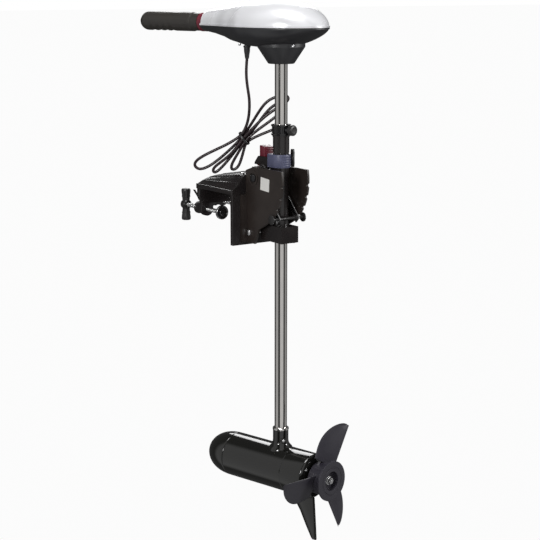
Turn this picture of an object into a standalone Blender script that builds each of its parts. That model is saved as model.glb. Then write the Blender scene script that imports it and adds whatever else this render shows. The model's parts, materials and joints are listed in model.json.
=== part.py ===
"""Transom-mount electric trolling motor, built as an assembly of separate pieces.

Frame: metres, +X forward into the boat, +Y to port, +Z up. The origin is the middle of the transom face of the
bracket's outer leg, level with the two clamp screws. The steered group (shaft, head, motor) is modelled in its
own frame, with the shaft on Z, +X along the tiller and Z = 0 on the motor axis, and is turned by STEER_TURN.
"""

from math import cos, pi, radians, sin, sqrt

import bmesh
import bpy
from mathutils import Vector

# ---- driving dimensions -------------------------------------------------------------------------------------
GAP = 0.0003            # clearance kept between two pieces that rest on or beside each other
RUNNING = 0.0004        # radial clearance of what turns or slides
ROUND = 32              # sides of a large round piece
SMALL = 20              # sides of a small one

SHAFT_X = -0.095        # the main shaft's axis, behind the transom face
MOTOR_Z = -0.568        # the motor's axis, below the clamp screws
STEER_TURN = radians(13)
SHAFT_R = 0.014
SHAFT_WALL = 0.0015
SHAFT_TOP = 0.955       # heights in the steered frame are above the motor axis

HEAD_SEAM = 0.987
HEAD_TOP = 1.045
HEAD_AFT = 0.115
HEAD_FRONT = 0.220
HEAD_HALF_WIDTH = 0.085
HEAD_WALL = 0.003
CONE_TOP = 0.945
CONE_TOP_R = 0.052
CONE_BOTTOM = 0.909
CONE_BOTTOM_R = 0.029

HANDLE_Z = 0.9935
GRIP_R = 0.0215
GRIP_END = 0.431
GRIP_START = 0.2405
RING_LENGTH = 0.0175
HANDLE_TUBE_R = 0.0125
SPEED_ROD_R = 0.006

MOTOR_R = 0.0505
MOTOR_WALL = 0.004
NOSE_TIP = 0.212
NOSE_SEAM = 0.137
BELL_SEAM = -0.040
MOTOR_AFT = -0.105
SOCKET_R = SHAFT_R + 0.0035
SOCKET_TOP = 0.088
SKEG_TIP = -0.149

PROP_R = 0.134
HUB_R = 0.036
HUB_FLANGE_R = 0.045
HUB_FRONT = -0.110
HUB_AFT = -0.153
BLADES = 3
BLADE_LEAN = radians(-34)   # the first blade's turn from straight up, to starboard
BLADE_PITCH = radians(18)

HOOK_HALF_WIDTH = 0.071
LEG_THICK = 0.010
LEG_BOTTOM = -0.064
CEILING = 0.050         # underside of the hook, where the transom's top edge stops
EAVE = 0.059
CREST_AFT = 0.102
CREST_FRONT = 0.077
JAW_FACE = 0.128
JAW_THICK = 0.012
JAW_BOTTOM = 0.0137
BOSS_R = 0.013
BOSS_FRONT = 0.166

PLATE_Y = 0.0315        # inner face of each side plate
PLATE_THICK = 0.005
PLATE_R = 0.110
PLATE_TOP = 0.114
PIVOT_X = -0.041
PIVOT_Z = 0.089
PIVOT_BOLT_R = 0.004
NOTCH_ANGLES = [radians(a) for a in (47, 33, 19, 5, -9)]
NOTCH_R = 0.0042
LOCK_PIN_R = 0.0035
LOCK_ANGLE = NOTCH_ANGLES[0]

CLAMP_Y = 0.050
CLAMP_SCREW_R = 0.005
PAD_R = 0.016
PAD_FACE = 0.0645
PAD_THICK = 0.006
T_BAR_X = 0.2235
T_BAR_HALF = 0.037

SLEEVE_TOP = 0.7545
BAND_TOP = 0.713
BAND_BOTTOM = 0.684
YOKE_TOP = 0.682
BLOCK_TOP = 0.556
BLOCK_BOTTOM = 0.520
BLOCK_HALF = 0.0225
BLOCK_AFT = -0.034
WEB_FRONT = 0.046
BUSH_WALL = 0.0016
BORE_R = SHAFT_R + RUNNING + BUSH_WALL + GAP
SLEEVE_R = BORE_R + 0.0017
COLLAR_R = SHAFT_R + 0.0065
COLLAR_TOP = 0.778

LEAD_R = 0.00325


# ---- tools --------------------------------------------------------------------------------------------------
for old in list(bpy.data.objects):
    bpy.data.objects.remove(old, do_unlink=True)


def finish(name, colour, metallic, roughness):
    """A named Principled material."""
    material = bpy.data.materials.new(name)
    material.use_nodes = True
    shader = material.node_tree.nodes["Principled BSDF"]
    shader.inputs["Base Color"].default_value = (*colour, 1)
    shader.inputs["Metallic"].default_value = metallic
    shader.inputs["Roughness"].default_value = roughness
    return material


def frame_at(name, x, y, z, turn=0.0):
    """An empty that carries the pieces modelled in its frame."""
    empty = bpy.data.objects.new(name, None)
    bpy.context.collection.objects.link(empty)
    empty.location = (x, y, z)
    empty.rotation_euler = (0, 0, turn)
    return empty


def piece(name, points, faces, material, frame=None, origin=(0, 0, 0)):
    """One closed mesh object. Points are in its frame, and origin is the point that its joint turns about."""
    mesh = bpy.data.meshes.new(name)
    shift = Vector(origin)
    mesh.from_pydata([Vector(p) - shift for p in points], [], faces)
    form = bmesh.new()
    form.from_mesh(mesh)
    bmesh.ops.recalc_face_normals(form, faces=form.faces)
    form.to_mesh(mesh)
    form.free()
    mesh.shade_smooth()
    mesh.set_sharp_from_angle(angle=radians(35))
    made = bpy.data.objects.new(name, mesh)
    bpy.context.collection.objects.link(made)
    made.data.materials.append(material)
    made.parent = frame
    made.location = origin
    return made


def place(along, radial, turn, axis):
    """A point at a distance along an axis and out from it; axis is X, Y or Z."""
    c, s = radial * cos(turn), radial * sin(turn)
    return {"X": (along, c, s), "Y": (s, along, c), "Z": (c, s, along)}[axis]


def turned(name, profile, material, axis="Z", at=(0, 0, 0), sides=ROUND, **where):
    """A piece turned on a lathe from (radius, distance along) pairs. A profile that starts and ends on the axis is
    solid, and any other is joined up into a ring."""
    solid = profile[0][0] < 1e-9
    flat_start = solid and profile[0][1] == profile[1][1]
    flat_end = solid and profile[-1][1] == profile[-2][1]
    profile = profile[int(flat_start):len(profile) - int(flat_end)]
    points, rings = [], []
    for radius, along in profile:
        first = len(points)
        count = sides if radius > 1e-9 else 1
        points += [place(along, radius, 2 * pi * n / count, axis) for n in range(count)]
        rings.append(range(first, first + count))
    faces = [list(rings[0])] * flat_start + [list(rings[-1])] * flat_end
    pairs = list(zip(rings, rings[1:])) + [(rings[-1], rings[0])] * (not solid)
    for low, high in pairs:
        for n in range(sides):
            corner = [low[n % len(low)], low[(n + 1) % len(low)], high[(n + 1) % len(high)], high[n % len(high)]]
            faces.append(list(dict.fromkeys(corner)))
    points = [tuple(a + b for a, b in zip(p, at)) for p in points]
    return piece(name, points, faces, material, **where)


def rod(name, radius, low, high, material, axis="Z", bore=0.0, chamfer=0.0, **more):
    """A round bar, or a tube if it has a bore."""
    c = chamfer
    outer = [(radius - c, low), (radius, low + c), (radius, high - c), (radius - c, high)]
    outer = outer if c else [(radius, low), (radius, high)]
    ends = [(bore, high), (bore, low)] if bore else [(0, high)]
    profile = outer + ends if bore else [(0, low)] + outer + ends
    return turned(name, profile, material, axis, **more)


def lofted(name, loops, material, **where):
    """A solid through a row of loops that have the same number of points."""
    count = len(loops[0])
    points = [p for loop in loops for p in loop]
    faces = [list(range(count)), list(range(len(points) - count, len(points)))]
    for n in range(len(loops) - 1):
        for k in range(count):
            a, b = n * count + k, n * count + (k + 1) % count
            faces.append([a, b, b + count, a + count])
    return piece(name, points, faces, material, **where)


def prism(name, outline, low, high, axis, material, **where):
    """An outline extruded along an axis. Outline points are (X, Z) for Y, (X, Y) for Z and (Y, Z) for X."""
    def put(a, b, along):
        return {"X": (along, a, b), "Y": (a, along, b), "Z": (a, b, along)}[axis]
    return lofted(name, [[put(a, b, t) for a, b in outline] for t in (low, high)], material, **where)


def block(name, x, y, z, material, **where):
    """A box from three (low, high) pairs."""
    return prism(name, [(x[0], y[0]), (x[1], y[0]), (x[1], y[1]), (x[0], y[1])], z[0], z[1], "Z", material, **where)


def arc(centre, radius, start, end, steps):
    """Points round a centre from one angle to another, in radians."""
    turns = [start + (end - start) * n / steps for n in range(steps + 1)]
    return [(centre[0] + radius * cos(t), centre[1] + radius * sin(t)) for t in turns]


def combine(target, tool, operation):
    """Joins a tool shape to a piece, or cuts it out, and removes the tool."""
    modifier = target.modifiers.new(tool.name, "BOOLEAN")
    modifier.operation = operation
    modifier.object = tool
    modifier.solver = "EXACT"
    bpy.context.view_layer.update()
    graph = bpy.context.evaluated_depsgraph_get()
    result = bpy.data.meshes.new_from_object(target.evaluated_get(graph))
    target.modifiers.clear()
    target.data = result
    bpy.data.objects.remove(tool, do_unlink=True)
    return target


def join(target, *tools):
    for tool in tools:
        combine(target, tool, "UNION")
    return target


def cut(target, *tools):
    for tool in tools:
        combine(target, tool, "DIFFERENCE")
    return target


def between(table, at):
    """Reads a curve given as (place, value) pairs, smoothly between its points."""
    for (x0, y0), (x1, y1) in zip(table, table[1:]):
        if at <= x1:
            share = max(0.0, (at - x0) / (x1 - x0))
            share = share * share * (3 - 2 * share) * 0.35 + share * 0.65
            return y0 + (y1 - y0) * share
    return table[-1][1]


# ---- materials ----------------------------------------------------------------------------------------------
silver_paint = finish("silver_paint", (0.66, 0.66, 0.68), 0.3, 0.3)
charcoal_plastic = finish("charcoal_plastic", (0.045, 0.046, 0.05), 0.0, 0.42)
black_plastic = finish("black_plastic", (0.012, 0.012, 0.013), 0.0, 0.35)
grip_rubber = finish("grip_rubber", (0.035, 0.032, 0.028), 0.0, 0.5)
red_plastic = finish("red_plastic", (0.16, 0.008, 0.02), 0.0, 0.4)
slate_plastic = finish("slate_plastic", (0.11, 0.12, 0.2), 0.0, 0.45)
stainless = finish("stainless", (0.62, 0.6, 0.56), 1.0, 0.22)
zinc_steel = finish("zinc_steel", (0.5, 0.5, 0.5), 1.0, 0.35)
black_paint = finish("black_paint", (0.01, 0.01, 0.011), 0.0, 0.12)
prop_plastic = finish("prop_plastic", (0.03, 0.028, 0.038), 0.0, 0.5)
copper = finish("copper", (0.6, 0.25, 0.12), 1.0, 0.35)
magnet_ferrite = finish("magnet_ferrite", (0.06, 0.06, 0.065), 0.2, 0.6)
seal_rubber = finish("seal_rubber", (0.015, 0.015, 0.015), 0.0, 0.7)
white_nylon = finish("white_nylon", (0.75, 0.74, 0.7), 0.0, 0.45)
board_green = finish("board_green", (0.02, 0.13, 0.05), 0.0, 0.5)
lead_rubber = finish("lead_rubber", (0.012, 0.01, 0.011), 0.0, 0.35)

steered = frame_at("steered", SHAFT_X, 0, MOTOR_Z, STEER_TURN)


# ---- bracket: hook, side plates and their bolts ----------------------------------------------------------------
def hook_section(x):
    """The hook's cross-section at x: flat below, with a crowned top that falls to an eave on each side."""
    share = (x + LEG_THICK) / (JAW_FACE + JAW_THICK + LEG_THICK)
    crest = CREST_AFT + (CREST_FRONT - CREST_AFT) * share
    top = []
    for n in range(13):
        across = -1 + 2 * n / 12
        top.append((x, HOOK_HALF_WIDTH * across, EAVE + (crest - EAVE) * (1 - abs(across) ** 2.2)))
    return [(x, HOOK_HALF_WIDTH, CEILING), (x, -HOOK_HALF_WIDTH, CEILING)] + top


def make_hook():
    front = JAW_FACE + JAW_THICK
    stations = [-LEG_THICK + (front + LEG_THICK) * n / 8 for n in range(9)]
    hook = lofted("transom_hook", [hook_section(x) for x in stations], black_plastic)
    half = HOOK_HALF_WIDTH
    leg = block("leg", (-LEG_THICK, 0), (-half, half), (LEG_BOTTOM, CEILING + 0.004), black_plastic)
    corner = 0.02
    jaw_outline = [(-half, CEILING + 0.004), (-half, JAW_BOTTOM + corner), (-half + corner, JAW_BOTTOM),
                   (half - corner, JAW_BOTTOM), (half, JAW_BOTTOM + corner), (half, CEILING + 0.004)]
    jaw = prism("jaw", jaw_outline, JAW_FACE, front, "X", black_plastic)
    join(hook, leg, jaw)
    for y in (CLAMP_Y, -CLAMP_Y):
        lobe = arc((y, 0), 0.0155, pi, 2 * pi, 10) + [(y + 0.0155, JAW_BOTTOM + 0.008), (y - 0.0155, JAW_BOTTOM + 0.008)]
        join(hook, prism("lobe", lobe, JAW_FACE + 0.0005, front - 0.0005, "X", black_plastic))
        join(hook, rod("boss", BOSS_R, JAW_FACE + 0.002, BOSS_FRONT, black_plastic, "X", at=(0, y, 0), sides=24))
        cut(hook, rod("bore", CLAMP_SCREW_R + RUNNING, 0.1, 0.2, black_plastic, "X", at=(0, y, 0), sides=SMALL))
    pocket = rod("pocket", 0.047, -YOKE_HALF - 0.0015, YOKE_HALF + 0.0015, black_plastic, "Y",
                 at=(PIVOT_X, 0, PIVOT_Z), sides=40)
    return cut(hook, pocket)


def plate_outline():
    """A side plate seen from port, in (X, Z), with its notched arc round the tilt pivot."""
    pivot = (PIVOT_X, PIVOT_Z)
    front = -LEG_THICK - GAP
    outline = [(front, PLATE_TOP - 0.010), (PIVOT_X, PLATE_TOP)]
    stops = [radians(-13)] + sorted(NOTCH_ANGLES)[1:] + [radians(57)]
    half_notch = NOTCH_R / PLATE_R
    for first, last in zip(stops, stops[1:]):
        start = first + (half_notch if first > stops[0] else 0)
        end = last - (half_notch if last < stops[-1] else 0)
        outline += arc(pivot, PLATE_R, pi + start, pi + end, 4)
        if last < stops[-1]:
            seat = (PIVOT_X - PLATE_R * cos(last), PIVOT_Z - PLATE_R * sin(last))
            outline += arc(seat, NOTCH_R, pi + last - pi / 2, pi + last - 3 * pi / 2, 8)[1:-1]
    outline += [(PIVOT_X - 0.020, -0.024), (PIVOT_X - 0.004, -0.058), (front, -0.058)]
    return outline


def make_side_plate(name, side):
    """side is +1 for port and -1 for starboard."""
    inner, outer = sorted((side * PLATE_Y, side * (PLATE_Y + PLATE_THICK)))
    plate = prism(name, plate_outline(), inner, outer, "Y", black_plastic)
    foot_in, foot_out = sorted((side * (PLATE_Y + PLATE_THICK - 0.001), side * (PLATE_Y + 0.020)))
    foot = block("foot", (-LEG_THICK - GAP - 0.006, -LEG_THICK - GAP), (foot_in, foot_out), (-0.056, 0.050),
                 black_plastic)
    join(plate, foot)
    hole = rod("hole", PIVOT_BOLT_R + GAP, -0.06, 0.06, black_plastic, "Y", at=(PIVOT_X, 0, PIVOT_Z), sides=SMALL)
    anchor = rod("hole", 0.0035 + GAP, -0.06, 0.06, black_plastic, "Y", at=(ANCHOR_X, 0, ANCHOR_Z), sides=SMALL)
    return cut(plate, hole, anchor)


def cross_bolt(name, radius, head_r, x, z, material):
    """A bolt through both side plates, with a round head to port and a nut to starboard, as one turned piece."""
    seat = PLATE_Y + PLATE_THICK + GAP
    profile = [(0, -seat - 0.006), (head_r * 0.8, -seat - 0.006), (head_r * 0.8, -seat), (radius, -seat),
               (radius, seat), (head_r, seat), (head_r, seat + 0.003), (head_r * 0.6, seat + 0.005), (0, seat + 0.005)]
    return turned(name, profile, material, "Y", at=(x, 0, z), sides=SMALL)


ANCHOR_X = -0.024
ANCHOR_Z = -0.035
YOKE_HALF = 0.022
make_hook()
make_side_plate("side_plate_port", 1)
make_side_plate("side_plate_starboard", -1)
cross_bolt("tilt_pivot_bolt", PIVOT_BOLT_R, 0.009, PIVOT_X, PIVOT_Z, zinc_steel)
cross_bolt("anchor_bolt", 0.0035, 0.007, ANCHOR_X, ANCHOR_Z, zinc_steel)


# ---- the two clamp screws --------------------------------------------------------------------------------------
def make_clamp(side_name, y, upright):
    """Screw, swivel pad and T-handle on one axis. The pad's socket holds the screw's ball end loosely."""
    back = PAD_FACE + PAD_THICK
    pad_profile = [(0, PAD_FACE), (PAD_R - 0.001, PAD_FACE), (PAD_R, PAD_FACE + 0.001), (PAD_R, back),
                   (0.009, back), (0.009, back + 0.006), (CLAMP_SCREW_R + RUNNING, back + 0.006),
                   (CLAMP_SCREW_R + RUNNING, PAD_FACE + 0.003), (0, PAD_FACE + 0.003)]
    turned("clamp_pad_" + side_name, pad_profile, zinc_steel, "X", at=(0, y, 0), sides=24)
    rod("clamp_screw_" + side_name, CLAMP_SCREW_R, PAD_FACE + 0.003 + GAP, T_BAR_X - 0.009 - GAP, zinc_steel, "X",
        at=(0, y, 0), sides=16, chamfer=0.0008, origin=(0, y, 0))
    hub = turned("clamp_handle_" + side_name, [(0, -0.009), (0.011, -0.009), (0.011, 0.009), (0, 0.009)],
                 black_plastic, "X", at=(T_BAR_X, y, 0), sides=SMALL, origin=(T_BAR_X, y, 0))
    half = T_BAR_HALF
    bar = [(0, -half), (0.0075, -half), (0.009, -half + 0.004), (0.0075, -0.016), (0.0065, 0), (0.0075, 0.016),
           (0.009, half - 0.004), (0.0075, half), (0, half)]
    wing = turned("bar", bar, black_plastic, "Z" if upright else "Y", at=(T_BAR_X, y, 0), sides=16)
    return join(hub, wing)


make_clamp("port", CLAMP_Y, True)
make_clamp("starboard", -CLAMP_Y, False)

# ---- yoke, tilt lock and steering band --------------------------------------------------------------------------
AXIS_AT = (SHAFT_X, 0, MOTOR_Z)


def up(height):
    """A height above the motor's axis, as a height in the bracket's frame."""
    return MOTOR_Z + height


def forward(distance):
    """A distance ahead of the shaft's axis, as an X in the bracket's frame."""
    return SHAFT_X + distance


def make_yoke():
    yoke = rod("yoke", SLEEVE_R, BAND_BOTTOM - 0.020, SLEEVE_TOP, black_plastic, at=AXIS_AT, sides=ROUND,
               origin=(PIVOT_X, 0, PIVOT_Z))
    bridge = block("bridge", (forward(0.012), forward(0.084)), (-YOKE_HALF, YOKE_HALF), (up(0.634), up(YOKE_TOP)),
                   black_plastic)
    base_outline = [(0.030, 0.680), (0.080, 0.680), (0.080, 0.689), (0.066, 0.704), (0.030, 0.704)]
    base_outline = [(forward(x), up(z)) for x, z in base_outline]
    lever_base = prism("lever_base", base_outline, -0.016, 0.016, "Y", black_plastic)
    web = block("web", (forward(0.018), forward(WEB_FRONT)), (-0.0155, 0.0155), (up(0.550), up(0.640)), black_plastic)
    low = block("low", (forward(BLOCK_AFT), forward(WEB_FRONT)), (-BLOCK_HALF, BLOCK_HALF),
                (up(BLOCK_BOTTOM), up(BLOCK_TOP)), black_plastic)
    join(yoke, bridge, lever_base, web, low)
    shaft_way = rod("way", BORE_R, 0.5, 0.8, black_plastic, at=AXIS_AT, sides=ROUND)
    pivot_way = rod("way", PIVOT_BOLT_R + RUNNING, -0.05, 0.05, black_plastic, "Y", at=(PIVOT_X, 0, PIVOT_Z),
                    sides=SMALL)
    lever_slot = block("slot", (LEVER_X - 0.013, LEVER_X + 0.021), (-0.0125, 0.0125), (LEVER_Z - 0.0145, up(0.72)),
                       black_plastic)
    bar_way = block("way", (LOCK_BAR[0] - 0.0095, LOCK_BAR[0] + 0.0085), (-0.05, 0.05),
                    (LOCK_BAR[1] - 0.009, LOCK_BAR[1] + 0.0085), black_plastic)
    return cut(yoke, shaft_way, pivot_way, lever_slot, bar_way)


def on_lock_line(reach):
    """A point on the line that the lock slides along, from the pivot towards the pin, in (X, Z)."""
    return (PIVOT_X - reach * cos(LOCK_ANGLE), PIVOT_Z - reach * sin(LOCK_ANGLE))


LOCK_REACH = PLATE_R + LOCK_PIN_R + RUNNING
LOCK_BAR = on_lock_line(-0.026)
LOCK_TRAVEL = 0.006
STRAP_Y = YOKE_HALF + 0.0015
STRAP_THICK = 0.003
LEVER_X = forward(0.056)
LEVER_Z = up(0.692)


def make_lock():
    """A stirrup of two straps beside the yoke, slotted round the pivot, whose lower ends carry the lock pin."""
    across = (-sin(LOCK_ANGLE), cos(LOCK_ANGLE))
    half = 0.0085
    tip = on_lock_line(LOCK_REACH + 0.007)
    tail = LOCK_BAR
    corners = [(tail[0] + across[0] * half, tail[1] + across[1] * half),
               (tail[0] - across[0] * half, tail[1] - across[1] * half),
               (tip[0] - across[0] * half, tip[1] - across[1] * half),
               (tip[0] + across[0] * half, tip[1] + across[1] * half)]
    stirrup = rod("lock_stirrup", 0.0045, -STRAP_Y - STRAP_THICK + 0.0005, STRAP_Y + STRAP_THICK - 0.0005, zinc_steel,
                  "Y", at=(LOCK_BAR[0], 0, LOCK_BAR[1]), sides=16, origin=(LOCK_BAR[0], 0, LOCK_BAR[1]))
    for side in (1, -1):
        inner, outer = sorted((side * STRAP_Y, side * (STRAP_Y + STRAP_THICK)))
        join(stirrup, prism("strap", corners, inner, outer, "Y", zinc_steel))
    slot_r = PIVOT_BOLT_R + 0.0008
    low, high = on_lock_line(-LOCK_TRAVEL - 0.001), on_lock_line(0.001)
    turn = pi + LOCK_ANGLE
    slot = arc(high, slot_r, turn - pi / 2, turn + pi / 2, 6) + arc(low, slot_r, turn + pi / 2, turn + 3 * pi / 2, 6)
    pin_at = on_lock_line(LOCK_REACH)
    pin_way = rod("way", LOCK_PIN_R + GAP, -0.04, 0.04, zinc_steel, "Y", at=(pin_at[0], 0, pin_at[1]), sides=SMALL)
    cut(stirrup, prism("slot", slot, -0.04, 0.04, "Y", zinc_steel), pin_way)
    end = PLATE_Y + PLATE_THICK + 0.004
    pin = [(0, -end - 0.003), (0.0105, -end - 0.003), (0.0105, -end), (LOCK_PIN_R, -end), (LOCK_PIN_R, end),
           (0.0105, end), (0.0105, end + 0.003), (0, end + 0.003)]
    turned("lock_pin", pin, black_plastic, "Y", at=(pin_at[0], 0, pin_at[1]), sides=SMALL)


def make_release_lever():
    """A thumb lever that turns on its pin and pushes the stirrup's bar down."""
    outline = [(-0.006, -0.006), (0.004, -0.0075), (0.010, -0.0106), (0.019, -0.0106), (0.019, -0.005),
               (0.0095, 0.012), (0.0095, 0.0345), (-0.0115, 0.031), (-0.0115, 0.010)]
    outline = [(LEVER_X + x, LEVER_Z + z) for x, z in outline]
    lever = prism("release_lever", outline, -0.012, 0.012, "Y", red_plastic, origin=(LEVER_X, 0, LEVER_Z))
    cut(lever, rod("way", 0.0025, -0.02, 0.02, red_plastic, "Y", at=(LEVER_X, 0, LEVER_Z), sides=16))
    rod("lever_pin", 0.0021, -0.0122, 0.0122, zinc_steel, "Y", at=(LEVER_X, 0, LEVER_Z), sides=16)


def make_band():
    """The steering band: a split clamp with flat lugs ahead of the sleeve."""
    inner, outer = SLEEVE_R + GAP, SLEEVE_R + 0.0026
    low, high = up(BAND_BOTTOM), up(BAND_TOP)
    nose = arc((SHAFT_X, 0), outer, pi / 2, 3 * pi / 2, 16)
    outline = nose + [(forward(0.0235), -outer), (forward(0.0235), outer)]
    band = prism("steering_band", outline, low, high, "Z", slate_plastic)
    way = rod("way", inner, 0.5, 0.8, slate_plastic, at=AXIS_AT, sides=ROUND)
    split = block("split", (forward(0.012), forward(0.03)), (-0.002, 0.002), (low - 0.01, high + 0.01), slate_plastic)
    cut(band, way, split)
    y = -outer - GAP
    knob = [(0, y), (0.0045, y), (0.0045, y - 0.003), (0, y - 0.003)]
    at = (forward(-0.007), 0, up(0.7035))
    knob = turned("steering_knob", knob, black_plastic, "Y", at=at, sides=16, origin=(at[0], y, at[2]))
    x = (at[0] - 0.004, at[0] + 0.004)
    wing = block("wing", x, (y - 0.0075, y - 0.0025), (at[2] - 0.0195, at[2] + 0.0195), black_plastic)
    join(knob, wing)


make_yoke()
make_lock()
make_release_lever()
make_band()
rod("upper_bush", BORE_R - GAP, 0.690, SLEEVE_TOP, white_nylon, bore=SHAFT_R + RUNNING, at=AXIS_AT)
rod("lower_bush", BORE_R - GAP, BLOCK_BOTTOM, BLOCK_TOP, white_nylon, bore=SHAFT_R + RUNNING, at=AXIS_AT)


# ---- depth collar ------------------------------------------------------------------------------------------------
def make_collar():
    low, high = SLEEVE_TOP + GAP, COLLAR_TOP
    lip = 0.0035
    bore = SHAFT_R + RUNNING
    ring = [(bore, low), (COLLAR_R + 0.0015, low), (COLLAR_R + 0.0015, low + lip), (COLLAR_R - 0.001, low + lip),
            (COLLAR_R - 0.001, high - lip), (COLLAR_R + 0.0015, high - lip), (COLLAR_R + 0.0015, high), (bore, high)]
    collar = turned("depth_collar", ring, black_plastic, frame=steered)
    middle = (low + high) / 2
    join(collar, rod("boss", 0.0085, -COLLAR_R - 0.0055, -COLLAR_R + 0.0045, black_plastic, "X", at=(0, 0, middle), sides=SMALL, frame=steered))
    cut(collar, rod("way", 0.0033, -COLLAR_R - 0.02, -SHAFT_R + 0.004, black_plastic, "X", at=(0, 0, middle), sides=16, frame=steered))
    tip, seat = -SHAFT_R - 0.0008, -COLLAR_R - 0.0058
    knob = [(0, tip), (0.003, tip), (0.003, seat), (0.0105, seat), (0.012, seat - 0.0017), (0.012, seat - 0.0097),
            (0.010, seat - 0.0117), (0, seat - 0.0117)]
    turned("collar_knob", knob, black_plastic, "X", at=(0, 0, middle), sides=24, frame=steered)


make_collar()


# ---- shaft and head ----------------------------------------------------------------------------------------------
def head_width(x):
    """Half the head's width at a distance ahead of the shaft."""
    if x < 0.01:
        return HEAD_HALF_WIDTH * sqrt(max(0.0, 1 - ((0.01 - x) / (HEAD_AFT + 0.01)) ** 2.1))
    wide = HEAD_HALF_WIDTH
    return between([(0.01, wide), (HEAD_FRONT * 0.273, wide * 0.941), (HEAD_FRONT * 0.5, wide * 0.729),
                    (HEAD_FRONT * 0.727, wide * 0.482), (HEAD_FRONT, wide * 0.3)], x)


def head_top(x):
    """The cover's crest above the seam."""
    if x < 0.02:
        share = (0.02 - x) / (HEAD_AFT + 0.02)
        return (HEAD_TOP - HEAD_SEAM) * (1 - share ** 2.4) ** 0.62
    crest = HEAD_TOP - HEAD_SEAM
    fall = [(0.295, 0.002), (0.455, 0.007), (0.659, 0.015), (0.841, 0.021), (1, 0.026)]
    return between([(0.02, crest)] + [(HEAD_FRONT * share, crest - drop) for share, drop in fall], x)


def head_keel(x):
    """The housing's lowest line below the seam."""
    if x < 0.02:
        share = (0.02 - x) / (HEAD_AFT + 0.02)
        return 0.046 * (1 - share ** 1.9) ** 0.8
    rise = [(0.336, 0.043), (0.523, 0.0355), (0.686, 0.0255), (0.845, 0.018), (1, 0.0135)]
    return between([(0.02, 0.046)] + [(HEAD_FRONT * share, depth) for share, depth in rise], x)


def head_stations():
    aft = [-HEAD_AFT + (HEAD_AFT + 0.02) * (n / 8) ** 1.6 for n in range(9)]
    return aft[1:] + [HEAD_FRONT * share for share in (0.23, 0.36, 0.5, 0.64, 0.75, 0.865, 1)]


def half_dome(name, height, inset, material, sign, sides=16):
    """One half of the head: a loft of arched sections over the flat seam, drawn in by inset."""
    loops = []
    for x in head_stations():
        wide = max(head_width(x) - inset, 0.0012)
        tall = max(height(x) - inset, 0.001)
        at = x * (1 - inset / HEAD_FRONT)
        turns = [pi * n / sides for n in range(sides + 1)]
        loops.append([(at, wide * cos(t), HEAD_SEAM + sign * (tall * sin(t) ** 0.85 + GAP / 2)) for t in turns])
    return lofted(name, loops, material, frame=steered)


def make_head():
    cover = half_dome("head_cover", head_top, 0, silver_paint, 1)
    cut(cover, half_dome("inner", head_top, HEAD_WALL, silver_paint, 1))
    inner_plan = [(x * (1 - HEAD_WALL / HEAD_FRONT), head_width(x) - HEAD_WALL) for x in head_stations()[2:]]
    inner_plan += [(x, -y) for x, y in reversed(inner_plan)]
    seam_cut = prism("seam", inner_plan, HEAD_SEAM - 0.001, HEAD_SEAM + 0.0012, "Z", silver_paint, frame=steered)
    cut(cover, seam_cut)
    housing = half_dome("head_housing", head_keel, 0, charcoal_plastic, -1)
    cone = turned("cone", [(0, CONE_BOTTOM), (CONE_BOTTOM_R, CONE_BOTTOM), (CONE_TOP_R, CONE_TOP),
                           (CONE_TOP_R, CONE_TOP + 0.012), (0, CONE_TOP + 0.012)], charcoal_plastic, frame=steered)
    join(housing, cone)
    hollow = half_dome("hollow", head_keel, HEAD_WALL, charcoal_plastic, -1)
    join(hollow, turned("inner_cone", [(0, CONE_BOTTOM + 0.006), (CONE_BOTTOM_R - 0.005, CONE_BOTTOM + 0.006),
                                       (CONE_TOP_R - 0.005, CONE_TOP + 0.002), (CONE_TOP_R - 0.005, CONE_TOP + 0.02),
                                       (0, CONE_TOP + 0.02)], charcoal_plastic, frame=steered))
    mouth = prism("mouth", inner_plan, HEAD_SEAM - 0.0012, HEAD_SEAM + 0.001, "Z", charcoal_plastic, frame=steered)
    shaft_way = rod("way", SHAFT_R + GAP, 0.88, 0.95, charcoal_plastic, frame=steered)
    gland_way = rod("way", 0.0062, 0.92, 0.96, charcoal_plastic, at=(GLAND_X, 0, 0), sides=SMALL, frame=steered)
    cut(housing, hollow, mouth, shaft_way, gland_way)
    for shell in (cover, housing):
        cut(shell, rod("way", HANDLE_TUBE_R + 0.0012, HEAD_FRONT - 0.03, HEAD_FRONT + 0.02, charcoal_plastic, "X", at=(0, 0, HANDLE_Z),
                       sides=24, frame=steered))


WIRES_R = 0.0045
GLAND_X = 0.1014
GLAND_TOP = 0.9585
GLAND_END = 0.934
make_head()
rod("main_shaft", SHAFT_R, MOTOR_R + 0.001, SHAFT_TOP, stainless, bore=SHAFT_R - SHAFT_WALL, frame=steered)
rod("shaft_wires", WIRES_R, MOTOR_R - 0.006, SHAFT_TOP + 0.008, lead_rubber, frame=steered, sides=12)
gland_profile = [(LEAD_R + 0.0003, GLAND_TOP), (0.008, GLAND_TOP), (0.008, GLAND_TOP - 0.0035),
                 (0.0058, GLAND_TOP - 0.0035), (0.0058, GLAND_END + 0.010), (0.0075, GLAND_END + 0.010),
                 (0.0065, GLAND_END + 0.004), (0.0045, GLAND_END), (LEAD_R + 0.0003, GLAND_END)]
turned("cable_gland", gland_profile, black_plastic, at=(GLAND_X, 0, 0), sides=SMALL, frame=steered)
rod("shaft_clamp_ring", SHAFT_R + 0.008, 0.9153, 0.928, zinc_steel, bore=SHAFT_R + GAP, frame=steered, sides=24)
block("control_board", (-0.070, 0.030), (-0.040, 0.040), (0.972, 0.974), board_green, frame=steered)
block("speed_switch", (-0.020, 0.030), (-0.018, 0.018), (0.9745, 1.0100), white_nylon, frame=steered)


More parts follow.
